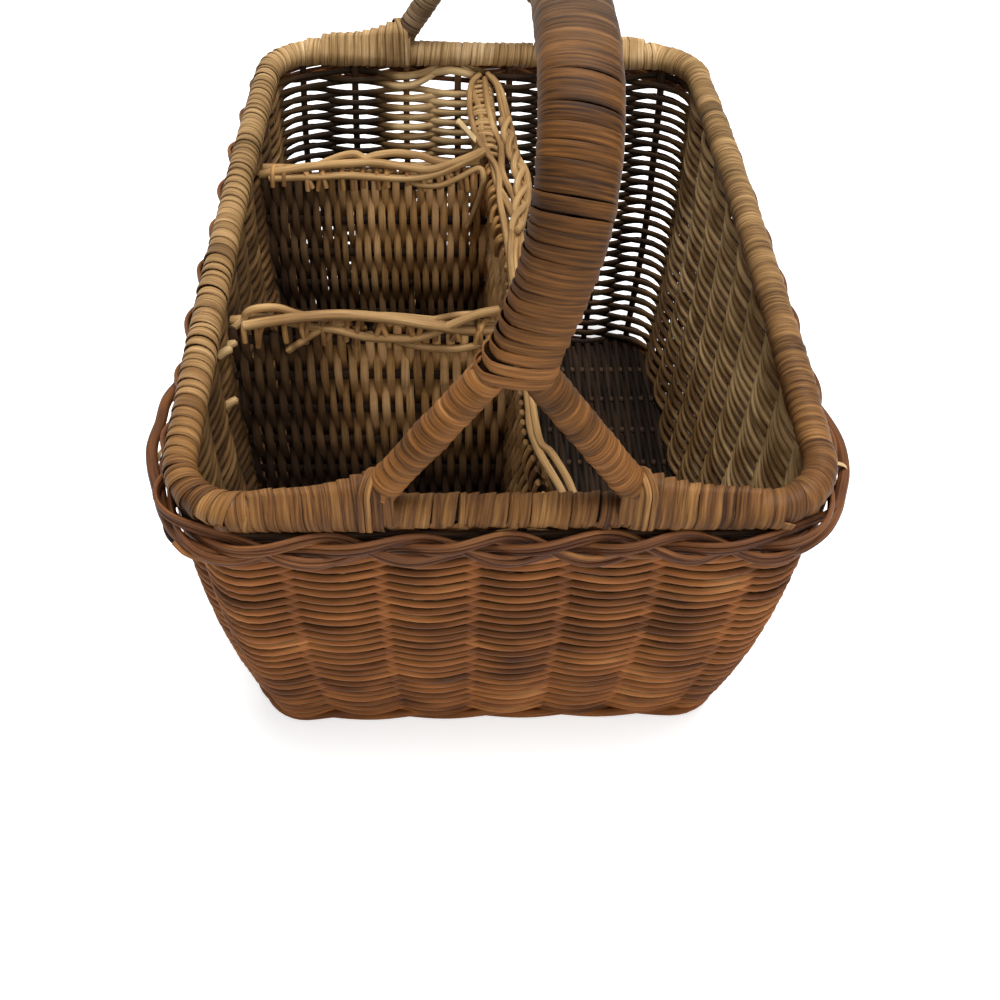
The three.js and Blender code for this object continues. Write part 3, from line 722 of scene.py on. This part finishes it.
def rim_wrap():
    """The strip round the rim, uneven in width, with the front ramp's darker, redder colours towards the
    front, partly the cane's own colour and partly painted shade.
    """
    rng = dice(61)
    widths = np.clip(rng.normal(1.0, 0.28, RIM_TURNS), 0.5, 1.6)
    marks = np.concatenate([[0], np.cumsum(widths)]) / widths.sum()
    marks = np.concatenate([marks, 1 + marks[1:4]])

    def share_at(t):
        """Share of the way round at a place in turns. The strip begins at the back's middle."""
        return BACK_MIDDLE + np.interp(t, np.arange(len(marks)), marks)

    def spot(t, angle, lift):
        share = share_at(t)
        radius = HOOP_R + 0.45 + lift + 0.15 * ripple(share % 1, dice(62), 5, 20)
        c, s = np.cos(angle), np.sin(angle)
        point = rim_point(share, radius * c, radius * s)
        outward = unit(rim_point(share, radius * c + c, radius * s + s) - point)
        return point, outward

    t = np.arange(RIM_TURNS * RIM_STEPS) / RIM_STEPS
    share = share_at(t)
    quarter = (share * 4) % 2
    corner = bump(np.minimum(quarter, 2 - quarter), CORNER_SHARE, 0.1)
    width = RIM_LENGTH * 1.02 / widths.sum() * (1 + 0.24 * corner) * widths[t.astype(int)]
    x, y, _ = rim_point(share, 0, 0).T
    # front mixes in the darker, redder front ramp, less of it on the left near the front: partly the cane's
    # own colour, partly painted shade. The tone holds painted light at the back and on the left near the
    # front, and painted shade towards the right.
    front = ease((55 - y) / 160) * (1 - 0.45 * bump(y, -45, 30) * (x < 0))
    tone = 0.3 + 0.42 * ease((y - 85) / 20) - 0.22 * ease(x / RIM_A) + 0.2 * bump(y, -45, 40) * (x < 0)
    return winding(rng, RIM_TURNS, RIM_STEPS, spot, width, tone, front, closed=True, tone_spread=0.24,
                   seams=0.28)


def grip_frame(distance):
    """Points and outward normals of the grip's centre line from the front crotch on, and its length."""
    upright = GRIP_Z - GRIP_BEND - CROTCH_Z
    bend = math.pi / 2 * GRIP_BEND
    top = 2 * GRIP_Y - 2 * GRIP_BEND
    total = 2 * upright + 2 * bend + top
    distance = np.asarray(distance, float)
    flip = np.where(distance > total / 2, -1.0, 1.0)
    s = np.where(distance > total / 2, total - distance, distance)
    past = np.clip(s - upright - bend, 0, None)
    turn = np.clip((s - upright) / GRIP_BEND, 0, math.pi / 2)
    y = -GRIP_Y + GRIP_BEND * (1 - np.cos(turn)) + past
    z = np.minimum(CROTCH_Z + s, GRIP_Z - GRIP_BEND) + GRIP_BEND * np.sin(turn)
    z = z + GRIP_CROWN * (0.5 - 0.5 * np.cos(TAU * past / top))
    short = np.clip(GRIP_Z - z, 0, None) / (GRIP_Z - CROTCH_Z)
    point = np.stack([GRIP_LEAN * (1 - short ** 2), y * flip, z], -1)
    outward = np.stack([0 * turn, -np.cos(turn) * flip, np.sin(turn)], -1)
    return point, outward, float(total)


def grip_wrap():
    """The strip round both rods of the grip, askew by an uneven measure."""
    rng = dice(71)
    total = grip_frame(0.0)[2]
    covered = total + 1.0
    widths = np.clip(rng.normal(1.0, 0.22, GRIP_TURNS + 2), 0.55, 1.5)
    marks = np.concatenate([[0], np.cumsum(widths)])
    marks = -0.5 + covered * marks / marks[GRIP_TURNS]
    place = np.arange(GRIP_TURNS * GRIP_STEPS + 1) / GRIP_STEPS
    run = np.interp(place, np.arange(len(marks)), marks)
    askew = 1.3 + 0.7 * ripple(place / GRIP_TURNS, rng, 3, 12)

    def spot(t, angle, lift):
        distance = np.interp(t, np.arange(len(marks)), marks) + askew * np.sin(angle - 0.7)
        point, outward, _ = grip_frame(np.clip(distance, 0, total))
        c, s = np.cos(angle), np.sin(angle)
        near = np.minimum(distance, total - distance)
        half = ROD_HALF_SPACING + ROD_FLARE * np.clip(1 - near / ROD_FLARE_LENGTH, 0, 1)
        radius = ROD_R + 0.75 + lift
        swell = 0.7 * (1 - c ** 2)
        point = point + outward * ((radius + swell) * s)[:, None]
        point[:, 0] += np.sign(c) * half * np.minimum(1, np.abs(c) * 1.6) + radius * c
        normal = outward * s[:, None]
        normal[:, 0] += c
        return point, unit(normal)

    width = np.interp(place, np.arange(GRIP_TURNS + 2) + 0.5, widths)
    width = 1.1 * width * covered / widths[:GRIP_TURNS].sum()
    top = ease((run - 45) / 40)
    shade = 0.65 - 0.8 * ease((run + 4) / 44) + 0.6 * ease((run - 66) / 24)
    return winding(rng, GRIP_TURNS, GRIP_STEPS, spot, width, shade, top, thick=0.17, tone_spread=0.16,
                   lean=0.02 + 0.05 * ease(run / 30), seams=0.14)


# Legs and feet, with side -1 for left and 1 for right, and end -1 for front and 1 for back
def rng_for(first, side, end):
    """Random numbers of its own for each of the four legs."""
    return dice(first + int(side > 0) + 2 * int(end > 0))


def leg_wrap(side, end):
    """The strip round a leg, from its foot on the rim to the grip."""
    a = np.array([side * LEG_SPREAD, end * RIM_B, RIM_Z + FOOT_LIFT + ROD_R])
    b = grip_frame(0.0)[0] + np.array([side * (ROD_HALF_SPACING + ROD_FLARE), 0, 0])
    b[1] *= -end
    axis = b - a
    length = float(np.linalg.norm(axis))
    along = axis / length
    first = unit(np.cross(along, [0, 1.0, 0]))
    second = np.cross(along, first)
    turns = int(length * 1.02 / LEG_STRIP)

    def spot(t, angle, lift):
        centre = a + axis * (t / turns)[:, None]
        direction = np.cos(angle)[:, None] * first + np.sin(angle)[:, None] * second
        return centre + (ROD_R + 0.4 + lift)[:, None] * direction, direction

    # The right legs are painted darker, as painted shade.
    return winding(rng_for(81, side, end), turns, LEG_STEPS, spot, LEG_STRIP, 0.5 - 0.2 * (side > 0),
                   0.0 if end < 0 else 1.0, tone_spread=0.25, seams=0.3)


def foot_hull(side, end, x, angle, lift):
    """Points round the hoop and the foot that lies on it, at a distance from the grip's middle."""
    share = (x - LEG_SPREAD - FOOT_START) / (FOOT_LENGTH - FOOT_START)
    foot_r = mix(TIP_R, ROD_R, np.clip(1 - share, 0, 1) ** TIP_TAPER)
    sunk = ease((x - LEG_SPREAD - FOOT_LENGTH) / FOOT_RUN_OUT)
    rise = (FOOT_LIFT + foot_r) * (1 - sunk)
    c, s = np.cos(angle), np.sin(angle)
    lower = HOOP_R + 1.0 + lift
    upper = foot_r + 0.35 + lift
    on_foot = s * rise + upper > lower
    out = np.where(on_foot, upper * c, lower * c)
    up = np.where(on_foot, rise + upper * s, lower * s)
    point = np.stack([side * x, end * (RIM_B + out), RIM_Z + up], -1)
    return point, np.stack([0 * c, end * c, s], -1)


def foot_wrap(side, end):
    """Strips round the hoop and the foot that lies on it, tapering out along the rim."""
    far = LEG_SPREAD + FOOT_LENGTH + FOOT_RUN_OUT

    def spot(t, angle, lift):
        return foot_hull(side, end, mix(LEG_SPREAD - 1.5, far, np.clip(t / FOOT_TURNS, 0, 1)), angle, lift)

    # The front feet take the rim's front ramp and a low tone, as the rim's front does: partly the cane's own
    # colour, partly painted shade.
    tone, inner = (0.22, 1.0) if end < 0 else (0.5, 0.0)
    return winding(rng_for(91, side, end), FOOT_TURNS, FOOT_STEPS, spot, FOOT_STRIP, tone, inner, lift=0.25)


def foot_tie(side, end):
    """Two narrow strips that bind a foot next to its leg."""
    rng = rng_for(95, side, end)
    strands = Strands(rng)
    angle = np.linspace(-0.3, math.pi + 0.4, 26)
    for k in range(2):
        x = LEG_SPREAD + 1.2 + 1.5 * k + 1.5 * np.cos(angle)
        point, normal = foot_hull(side, end, x, angle, 0.9)
        # The front ties take the rim's front ramp too, partly the cane's own colour and partly painted
        # shade.
        strands.add(point, 0.7, 0.28, up=normal, section=STRIP, tone=0.75 - 0.3 * k,
                    inner=1.0 if end < 0 else 0.0)
    return strands


# Divider panels
def divider_x(y):
    """The centre divider's place from left to right. It runs askew and turns to the right at the front."""
    from_back = (RIM_B - y) / (2 * RIM_B - DIVIDER_TURN)
    turn = np.maximum((DIVIDER_TURN - RIM_B - y) / DIVIDER_TURN, 0)
    askew = mix(DIVIDER_BACK_X, DIVIDER_MIDDLE_X, ease(from_back))
    return askew + (DIVIDER_FRONT_X - DIVIDER_MIDDLE_X) * turn ** 2


def centre_spot(share, z, out):
    """Points on the centre divider, from front to back."""
    reach = plan_at(z)[1] - WALL_INSIDE
    y = mix(-reach, reach, share)
    return np.stack(np.broadcast_arrays(divider_x(y) + out, y, z), -1)


def cross_spot(y0):
    """The same for a cross divider, from the left wall to the centre divider."""
    def spot(share, z, out):
        a, b, _ = plan_at(z)
        left = -(a * (1 - SIDE_BOW * (y0 / b) ** 2) - WALL_INSIDE)
        right = divider_x(y0 + out) - 2.8
        return np.stack(np.broadcast_arrays(mix(left, right, share), y0 + out, z), -1)
    return spot


def cross_light(share, z):
    """Painted light on a cross divider's reeds: strongest high up on the right."""
    return np.clip(0.1 + 0.9 * ease((share - 0.15) / 0.4), 0, 1) * ease((z - 42) / 40)


def centre_light(share, z):
    """Painted light on the centre divider's reeds."""
    return (0.5 + 0.5 * bump(share, 0.62, 0.14) + 0.2 * bump(share, 0.1, 0.14)) * ease((z - 15) / 45)


def cross_gaps(share, z):
    """How loose a cross divider's weave is: one loose spot."""
    return bump(share, 0.33, 0.12) * bump(z, 78, 14)


def centre_gaps(share, z):
    """The centre divider is a little loose all over."""
    return 0.5


def divider(spot, up, length, seed, light, loose):
    """Level stakes with upright weavers woven in and out of them. light(share, height) paints light on some,
    with a paler tone and the lit ramp, and loose(share, height) leaves them apart."""
    rng, strands = seeded(seed)
    bottom = FLOOR_TOP + 0.3
    gap = (DIVIDER_TOP - bottom) / DIVIDER_STAKES
    levels = bottom + gap * (np.arange(DIVIDER_STAKES) + 0.5)
    share = np.linspace(0.0, 1.0, 40)
    for z in levels:
        # Painted shade: the level stakes take the shaded ramp and a low tone.
        strands.add(spot(share, z + 0.3 * ripple(share, rng, 1, 3), 0.0), 0.8, 1.6,
                    tone=rng.uniform(0.0, 0.3), inner=1.0)
    count = int(length / DIVIDER_PITCH)
    z = np.linspace(bottom - 0.2, DIVIDER_TOP, 72)
    for k in range(count):
        share = (k + 0.5 + rng.normal(0, 0.1)) / count + 0.3 * ripple(z / 150, rng, 1, 3) / length
        beat = np.cos(math.pi * ((z - levels[0]) / gap + k))
        fat = 0.9 + 0.1 * np.abs(beat) * rng.uniform(0.6, 1.4) + 0.17 * (1 - loose(share, z))
        n = int(len(z) * rng.uniform(0.975, 1.0))
        path = spot(np.clip(share, 0.002, 0.998), z, 1.6 * beat)[:n]
        # Painted light where light() says, and painted shade on the side of each weaver that lies back
        # against a stake; the shaded ramp takes over where there is no painted light.
        lit = light(share[:n], z[:n])
        recess_shade = np.clip(-beat[:n, None] * ROUND[None, :, 1], 0, 1)
        tone = np.clip(rng.normal(0.45, 0.23) + 0.75 * lit, -0.2, 1.5)[:, None] - 0.9 * recess_shade
        strands.add(path, fat[:n], 0.72, tone=tone, inner=1 - lit, up=up)
    return strands


# Routes and radii of the loose rods. On a cross divider a point is x, height and distance out
FRONT_ROUTES = (
    ([(-70, -3, 0), (-66.5, 0, 0), (-65, 2.6, 0), (-62, 3.6, 0.4), (-57, 3.4, 0.8), (-52, 1.5, 0.6),
      (-45, 0, 0.6), (-30, 0.5, 1.2), (-15, -1.2, 1.4), (0, -2.2, 1.0)], 1.15),
    ([(-66, -0.4, -1.8), (-57, 1.7, -2.2), (-50, 2.6, -1.9), (-40, 2.9, -1.4), (-28, 1.9, -1.6),
      (-17, 0.2, -2.2), (-9, -2.0, -1.6), (1, -3.4, 0)], 1.5),
    ([(-70, -1, 1.2), (-60, 0, 0.6), (-48, -1.4, -1.2), (-42, -1.4, -2.2), (-35, -3.4, -2.5),
      (-28, -4.0, -2.6), (-20, -3.6, -2.6), (-12, -0.3, -1.8), (-5, 2.6, -0.8), (1, 3.6, 0)], 1.3),
    ([(-55.5, -8.2, -2.6), (-53, -6.2, -2.8), (-50, -4.0, -2.6), (-46, -1.6, -1.8), (-40, -0.6, -0.6)], 1.1),
    ([(-30, -4.4, -0.8), (-24, -5.6, -2.6), (-16, -7.2, -2.9), (-8, -7.0, -2.8), (1, -5.2, -1.8)], 1.2),
    ([(-27, -2, 1.0), (-18, -1.5, 1.8), (-10, 0.8, 1.2), (-3, 1.6, 0.8), (1.5, 2.0, 0.8)], 1.0),
)
BACK_ROUTES = (
    ([(-71, -3, -0.6), (-63, -1.2, -1.0), (-55, 0.2, -1.2), (-45, 1.2, -1.0), (-36, 1.6, -0.8),
      (-27, 0.6, -1.2), (-18, -0.2, -1.6), (-10, 2.0, -1.0), (-2, 5.0, 0)], 1.45),
    ([(-70, -1.6, 1.2), (-56, -1.6, 1.4), (-50, 0.8, 1.0), (-45, 3.0, 0.6), (-41, 3.6, 0.6), (-38, 2.4, 0.4),
      (-34, 3.4, 0.6), (-28, 4.0, 0.8), (-21, 3.2, 0.6), (-14, 0.8, 0.6), (-3, 0.8, 1.0)], 1.25),
    ([(-68, -3.6, -1.8), (-52, -2.6, -2.2), (-44, -2.0, -2.4), (-34, -2.6, -2.4), (-24, -2.8, -2.4),
      (-15, -1.0, -2.2), (-6, 3.0, -1.2), (-1, 5.6, 0)], 1.3),
    ([(-27, -3.6, -1.2), (-21, -5.0, -2.7), (-15, -4.8, -3.0), (-9, -2.2, -2.8), (-3, 0.6, -2.0),
      (-1.4, -2.0, -3.4), (-2.4, -8.0, -3.4), (-5, -16.5, -3.2), (-6.4, -20, -3.0)], 1.05),
)
CENTRE_ROUTES = (
    ([(-1.5, 101, 109), (-4.4, 95, 108.5), (-5.1, 78.6, 108), (-2.8, 59.7, 108), (2.7, 42, 108.6),
      (3.1, 25.6, 108), (4.5, 5, 108), (5.2, -20, 108.4), (6.4, -45, 108.2), (7.1, -62, 108),
      (7.2, -72, 108.2), (8.9, -80.4, 108.6), (11.3, -86.8, 108.4), (13.3, -92, 108),
      (14.8, -98, 107.4)], 1.0),
    ([(1.3, 101, 109.4), (4.3, 92.2, 109), (5.6, 72.3, 109.2), (7.6, 47.9, 109), (9.4, 31.1, 108.4),
      (6.1, 10.2, 109), (5.0, -12, 109.6), (7.8, -35, 108.6), (7.9, -58, 108.6), (8.9, -76, 109.2),
      (11.2, -80.7, 109.6), (12.6, -83.6, 109.4), (14.8, -89.3, 109), (17, -97, 107.6)], 0.95),
    ([(2.6, 101, 108.2), (5.2, 93, 108), (6.7, 78.8, 108), (8.4, 62.9, 107.4), (8.9, 50.9, 108),
      (11.4, 39.4, 109), (11.3, 25.7, 109.4), (8.8, 12.7, 108), (6, -5, 107.4), (8.2, -30, 107.2)], 1.3),
    ([(-3.4, 101, 107.4), (-4.3, 94, 107), (-1.7, 80.5, 106.8), (-1.2, 61.4, 107), (1.6, 46.6, 107.4),
      (2.8, 35.3, 107), (6.0, 20, 108.6), (8.6, 4, 108.2), (7.0, -18, 107.2), (4.2, -38, 107)], 1.2),
    ([(0.4, 100, 108), (0.6, 86, 108.4), (2.2, 70, 107.6), (4.6, 56, 108), (4.2, 40, 108.8),
      (7.6, 26, 107.2), (7.0, 8, 107.2), (4.0, -8, 107.4)], 1.1),
)


def loose_rods(seed, routes, y=None, height=0.0):
    """Loose rods along a divider's top, the cross divider at y where one is given."""
    rng = dice(seed)
    made = []
    for route, radius in routes:
        points = route if y is None else [(x, y + out, z + height) for x, z, out in route]
        path = smooth_path(points, 10)
        t = np.linspace(0, 1, len(path))
        strands = Strands(rng)
        strands.add(path, radius, radius * 0.9, tone=0.5 + 0.3 * ripple(t * 0.9, rng, 1, 4))
        made.append(strands)
    return made


def centre_twists():
    """Two thin reeds twisted round each other where the back cross divider meets the centre one."""
    made = []
    back, front = 70, 6
    y = np.linspace(back, front, 90)
    t = (back - y) / (back - front)
    for number in range(2):
        rng = dice(321 + number)
        turn = TAU * (3.2 * t + 0.5 * number)
        x = 7.2 + 3.6 * bump(y, 32, 22) - 1.2 + 1.3 * np.cos(turn)
        strands = Strands(rng)
        strands.add(np.stack([x, y, 109.6 + 1.2 * np.sin(turn)], -1), 1.05,
                    tone=0.6 + 0.3 * ripple(t * 0.9, rng, 1, 4))
        made.append(strands)
    return made


def bent_ends(places, lean, seed, reach=1.0):
    """Weavers' ends bent over a divider's top. places are points on it and lean is the way they bend."""
    rng, strands = seeded(seed)
    lean = np.array(lean, float)
    along = np.array([lean[1], lean[0], 0.0])
    for place in places:
        slip = rng.uniform(-0.9, 0.9) * along
        drop = rng.uniform(2.5, 5.0)
        bend = [(-1.6, -3.0), (-1.3, 0.2), (0.0, 1.5), (1.9, 0.9), (2.6, -1.0), (2.7, -drop)]
        points = [np.array(place) + lean * out * reach + slip * k + np.array([0, 0, up])
                  for k, (out, up) in enumerate(bend)]
        strands.add(smooth_path(points, 4), 0.8, tone=rng.uniform(0.3, 0.9), up=along)
    return strands


def stake_stubs():
    """Three pale stake ends that stick out of the wall's inside."""
    strands = Strands()
    for number, (y, z) in enumerate(((-32.1, 100.4), (-38.4, 103.4), (-43.0, 89.5))):
        points = [(-72.5, y, z - 1.4), (-70.8, y + 0.6, z - 0.4), (-69.2, y + 1.4, z)]
        strands.add(smooth_path(points, 4), 1.15, tone=0.9, seed=number)
    return strands


# Single reeds of the border: name, points, radius, tone, flatness, material, slot and node
BORDER_REEDS = (
    ("border_loose_left",
     [(-76.5, -52, 108), (-80.4, -61, 108), (-80.6, -70, 108.4), (-81.2, -77, 108.2),
      (-80.2, -83, 107.4), (-78.2, -89, 106.6), (-75.6, -96, 105.8), (-71.6, -102, 105.2),
      (-65, -106.2, 104.8), (-56, -107.4, 105.2)],
     1.4, 0.45, 1.0, BORDER, "border", "border_strand_2"),
    ("border_loose_right",
     [(76.0, -58, 108), (79.4, -68, 108), (80.8, -77, 108.2), (80.2, -85, 107.6), (77.8, -92, 107),
      (75.4, -97.4, 106.2), (71.4, -102.6, 105.4), (65, -106.6, 104.8), (57, -107.6, 105)],
     1.4, 0.4, 1.0, BORDER, "border", "border_strand_3"),
    ("corner_loop",
     [(-73.0, -91, 105), (-75.6, -96, 104.6), (-74.6, -100.4, 104), (-71.8, -103.4, 103.6),
      (-69, -104.2, 103.4)],
     0.5, 0.1, 1.0, STAKE, "border", "border_strand_1"),
    ("border_tie_pale_left",
     [(-79.4, -80.6, 107.2), (-78.4, -80.2, 109.4), (-75.6, -79.6, 110.6), (-72.4, -79.2, 110.2)],
     0.75, 0.8, 0.4, BINDING, "pale", "border_tie_left"),
    ("border_end_pale_left",
     [(-72.4, -103.2, 104.8), (-69.8, -105.0, 103.0), (-66, -105.4, 101.2), (-62, -104.6, 100.2)],
     0.9, 1.0, 0.6, BORDER, "pale", "border_tie_left"),
    ("border_tie_pale_right",
     [(80.6, -85.4, 107.4), (79.6, -85.6, 109.6), (76.6, -85.8, 110.8), (73.6, -86, 110.4)],
     0.6, 0.8, 0.4, BINDING, "pale", "border_tie_right"),
)


# Assembly
def build_wall():
    for number, strands in enumerate(wall_rows(), 1):
        piece("wall_weavers_%d" % number, strands, WALL, "weave", "woven_wall")
    piece("wall_top_weavers", top_rows(), WALL, "weave", "woven_wall")
    piece("wall_stakes", wall_stakes(), STAKE, "weave", "woven_wall")
    piece("bottom_reeds", foot_pair(), WALL, "weave", "woven_wall")
    piece("base_weave", base_weave(), INSIDE, "floor", "base_mat")


def build_border():
    for number, strands in enumerate(border_strands(), 1):
        piece("border_reeds_%d" % number, strands, BORDER, "border", "border_strand_%d" % number)
    piece("border_fillers", border_fillers(), BORDER, "border", "border_strand_1")
    piece("border_backing", border_backing(), STAKE, "border", "border_strand_1")
    for seed, (name, points, radius, tone, flat, material, slot, node) in enumerate(BORDER_REEDS, 1):
        piece(name, loose_reed(points, radius, tone, seed, flat), material, slot, node)


def build_windings():
    piece("rim_strip", rim_wrap(), BINDING, "binding", "rim_binding")
    piece("grip_strip", grip_wrap(), WRAP, "wrap", "grip_wrap")
    for end_name, end in (("front", -1), ("back", 1)):
        for side_name, side in (("left", -1), ("right", 1)):
            tail = "_%s_%s" % (end_name, side_name)
            piece("leg_strip" + tail, leg_wrap(side, end), WRAP, "wrap", "leg_wrap" + tail)
            piece("foot_strip" + tail, foot_wrap(side, end), BINDING, "wrap", "foot_lashing" + tail)
            piece("foot_tie" + tail, foot_tie(side, end), BINDING, "wrap", "foot_lashing" + tail)


def build_cross_divider(name, y, seed, rods_z, routes):
    node = name + "_divider"
    weave = divider(cross_spot(y), (0, 1, 0), CROSS_LENGTH, seed, cross_light, cross_gaps)
    piece(name + "_weave", weave, INSIDE, "weave", node)
    for number, strands in enumerate(loose_rods(seed + 100, routes, y, rods_z)):
        rod_node = "%s_top_rod_%d" % (name, min(number, 2) + 1)
        piece("%s_rod_%d" % (name, number + 1), strands, PALE, "pale", rod_node)
    places = [(x, y, DIVIDER_TOP - 1.5) for x in np.arange(-66, divider_x(y) - 5, 3.4)]
    piece(name + "_ends", bent_ends(places, (0, -1, 0), seed + 110), INSIDE, "pale", node)


def build_dividers():
    weave = divider(centre_spot, (1, 0, 0), CENTRE_LENGTH, 201, centre_light, centre_gaps)
    piece("centre_weave", weave, INSIDE, "weave", "centre_divider")
    build_cross_divider("front_cross", FRONT_CROSS_Y, 202, FRONT_RODS_Z, FRONT_ROUTES)
    build_cross_divider("back_cross", BACK_CROSS_Y, 203, BACK_RODS_Z, BACK_ROUTES)
    for number, strands in enumerate(loose_rods(301, CENTRE_ROUTES) + centre_twists()):
        piece("centre_rod_%d" % (number + 1), strands, PALE, "pale", "centre_top_rod_%d" % (number % 3 + 1))
    places = [(divider_x(y), y, DIVIDER_TOP - 1.0) for y in np.arange(96, 5, -3.3)]
    ends = bent_ends(places, (-1, 0, 0), 331)
    piece("centre_ends", ends, INSIDE, "pale", "centre_divider")
    places = [(divider_x(y) - 0.6, y, DIVIDER_TOP) for y in np.arange(97, 52, -2.6)]
    ends = bent_ends(places, (-1, 0, 0), 332, 1.8)
    piece("centre_ends_back", ends, PALE, "pale", "centre_divider")
    stick = loose_reed([(-9.2, 60, 114.3), (-5, 60, 109.4), (-0.8, 60, 104.3)], 1.5, 2.0, 7.0, 0.6)
    piece("pale_stick", stick, PALE, "pale", "back_cross_top_rod_3")
    piece("stake_stubs", stake_stubs(), PALE, "weave", "woven_wall")


def dress_rods():
    """Dark cane on the rods that stay as CAD solids and show only in the seams of their windings, as painted
    shade in those seams.
    """
    for node in ("rim_hoop", "handle_rod_left", "handle_rod_right"):
        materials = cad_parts[node].data.materials
        materials.clear()
        materials.append(ROD)


# Floor, light and camera
FLOOR_HALF = 6.0
FLOOR_COLOUR = (0.85, 0.85, 0.85, 1)
WHITE = (1, 1, 1, 1)
FLOOR_GLOW = 0.55
AMBIENT = 0.3
LAMP_TARGET = (0, 0, 0.08)
CAMERA_PLACE = (-11.64, -253.96, 288.36)
CAMERA_DEGREES = (48.43, 2.58, 3.85)
FOCAL_PIXELS = 1070.6
PICTURE_PIXELS = 1000.0
SENSOR = 36.0


def when_seen(tree, strength):
    """Socket that is strength for what is seen, directly or mirrored, and nought for diffuse light."""
    path = tree.nodes.new("ShaderNodeLightPath").outputs
    seen = maths(tree, "MAXIMUM", path["Is Camera Ray"], path["Is Glossy Ray"])
    seen = maths(tree, "MAXIMUM", seen, path["Is Transmission Ray"])
    return maths(tree, "MULTIPLY", seen, strength)


def add_floor(scene):
    """White paper that keeps the basket's shadow."""
    h = FLOOR_HALF
    mesh = bpy.data.meshes.new("floor")
    mesh.from_pydata([(-h, -h, 0), (h, -h, 0), (h, h, 0), (-h, h, 0)], [], [(0, 1, 2, 3)])
    paper = bpy.data.materials.new("floor_paper")
    paper.use_nodes = True
    tree = paper.node_tree
    shader = tree.nodes["Principled BSDF"]
    for key, value in (("Base Color", FLOOR_COLOUR), ("Roughness", 0.9), ("Specular IOR Level", 0.1),
                       ("Emission Color", WHITE)):
        shader.inputs[key].default_value = value
    feed(tree, shader.inputs["Emission Strength"], when_seen(tree, FLOOR_GLOW))
    mesh.materials.append(paper)
    ground = bpy.data.objects.new("floor", mesh)
    scene.collection.objects.link(ground)


def add_world(scene):
    """Soft light from all round, in front of a backdrop that is seen as white."""
    world = bpy.data.worlds.new("studio")
    scene.world = world
    world.use_nodes = True
    tree = world.node_tree
    sky = tree.nodes["Background"]
    sky.inputs["Color"].default_value = WHITE
    feed(tree, sky.inputs["Strength"], maths(tree, "ADD", when_seen(tree, 1 - AMBIENT), AMBIENT))


def add_lamp(scene, name, place, size, watts):
    """Round soft lamp that looks at the basket."""
    lamp = bpy.data.lights.new(name, "AREA")
    lamp.shape = "DISK"
    lamp.size = size
    lamp.energy = watts
    obj = bpy.data.objects.new(name, lamp)
    obj.location = place
    obj.rotation_euler = (Vector(LAMP_TARGET) - Vector(place)).to_track_quat("-Z", "Y").to_euler()
    scene.collection.objects.link(obj)


def add_camera(scene):
    """The photograph's camera, turned by its pitch, roll and yaw."""
    pitch, roll, yaw = (math.radians(v) for v in CAMERA_DEGREES)
    forward = np.array([math.sin(yaw) * math.cos(pitch), math.cos(yaw) * math.cos(pitch), -math.sin(pitch)])
    right = np.array([math.cos(yaw), -math.sin(yaw), 0.0])
    up = np.cross(right, forward)
    x_axis = math.cos(roll) * right + math.sin(roll) * up
    y_axis = -math.sin(roll) * right + math.cos(roll) * up
    camera = bpy.data.cameras.new("camera")
    camera.sensor_width = SENSOR
    camera.lens = SENSOR * FOCAL_PIXELS / PICTURE_PIXELS
    camera.clip_start = 0.01
    view = bpy.data.objects.new("camera", camera)
    place = np.array(CAMERA_PLACE) * MM
    rows = [(x_axis[k], y_axis[k], -forward[k], place[k]) for k in range(3)]
    view.matrix_world = Matrix(rows + [(0, 0, 0, 1)])
    scene.collection.objects.link(view)
    scene.camera = view
    scene.view_settings.view_transform = "Standard"


build_wall()
build_border()
build_windings()
build_dividers()
dress_rods()
scene = bpy.context.scene
add_floor(scene)
add_world(scene)
add_lamp(scene, "key", (0.12, 0.0, 1.5), 0.9, 27.0)
add_lamp(scene, "fill", (0.6, -1.4, 0.8), 1.0, 10.0)
add_camera(scene)
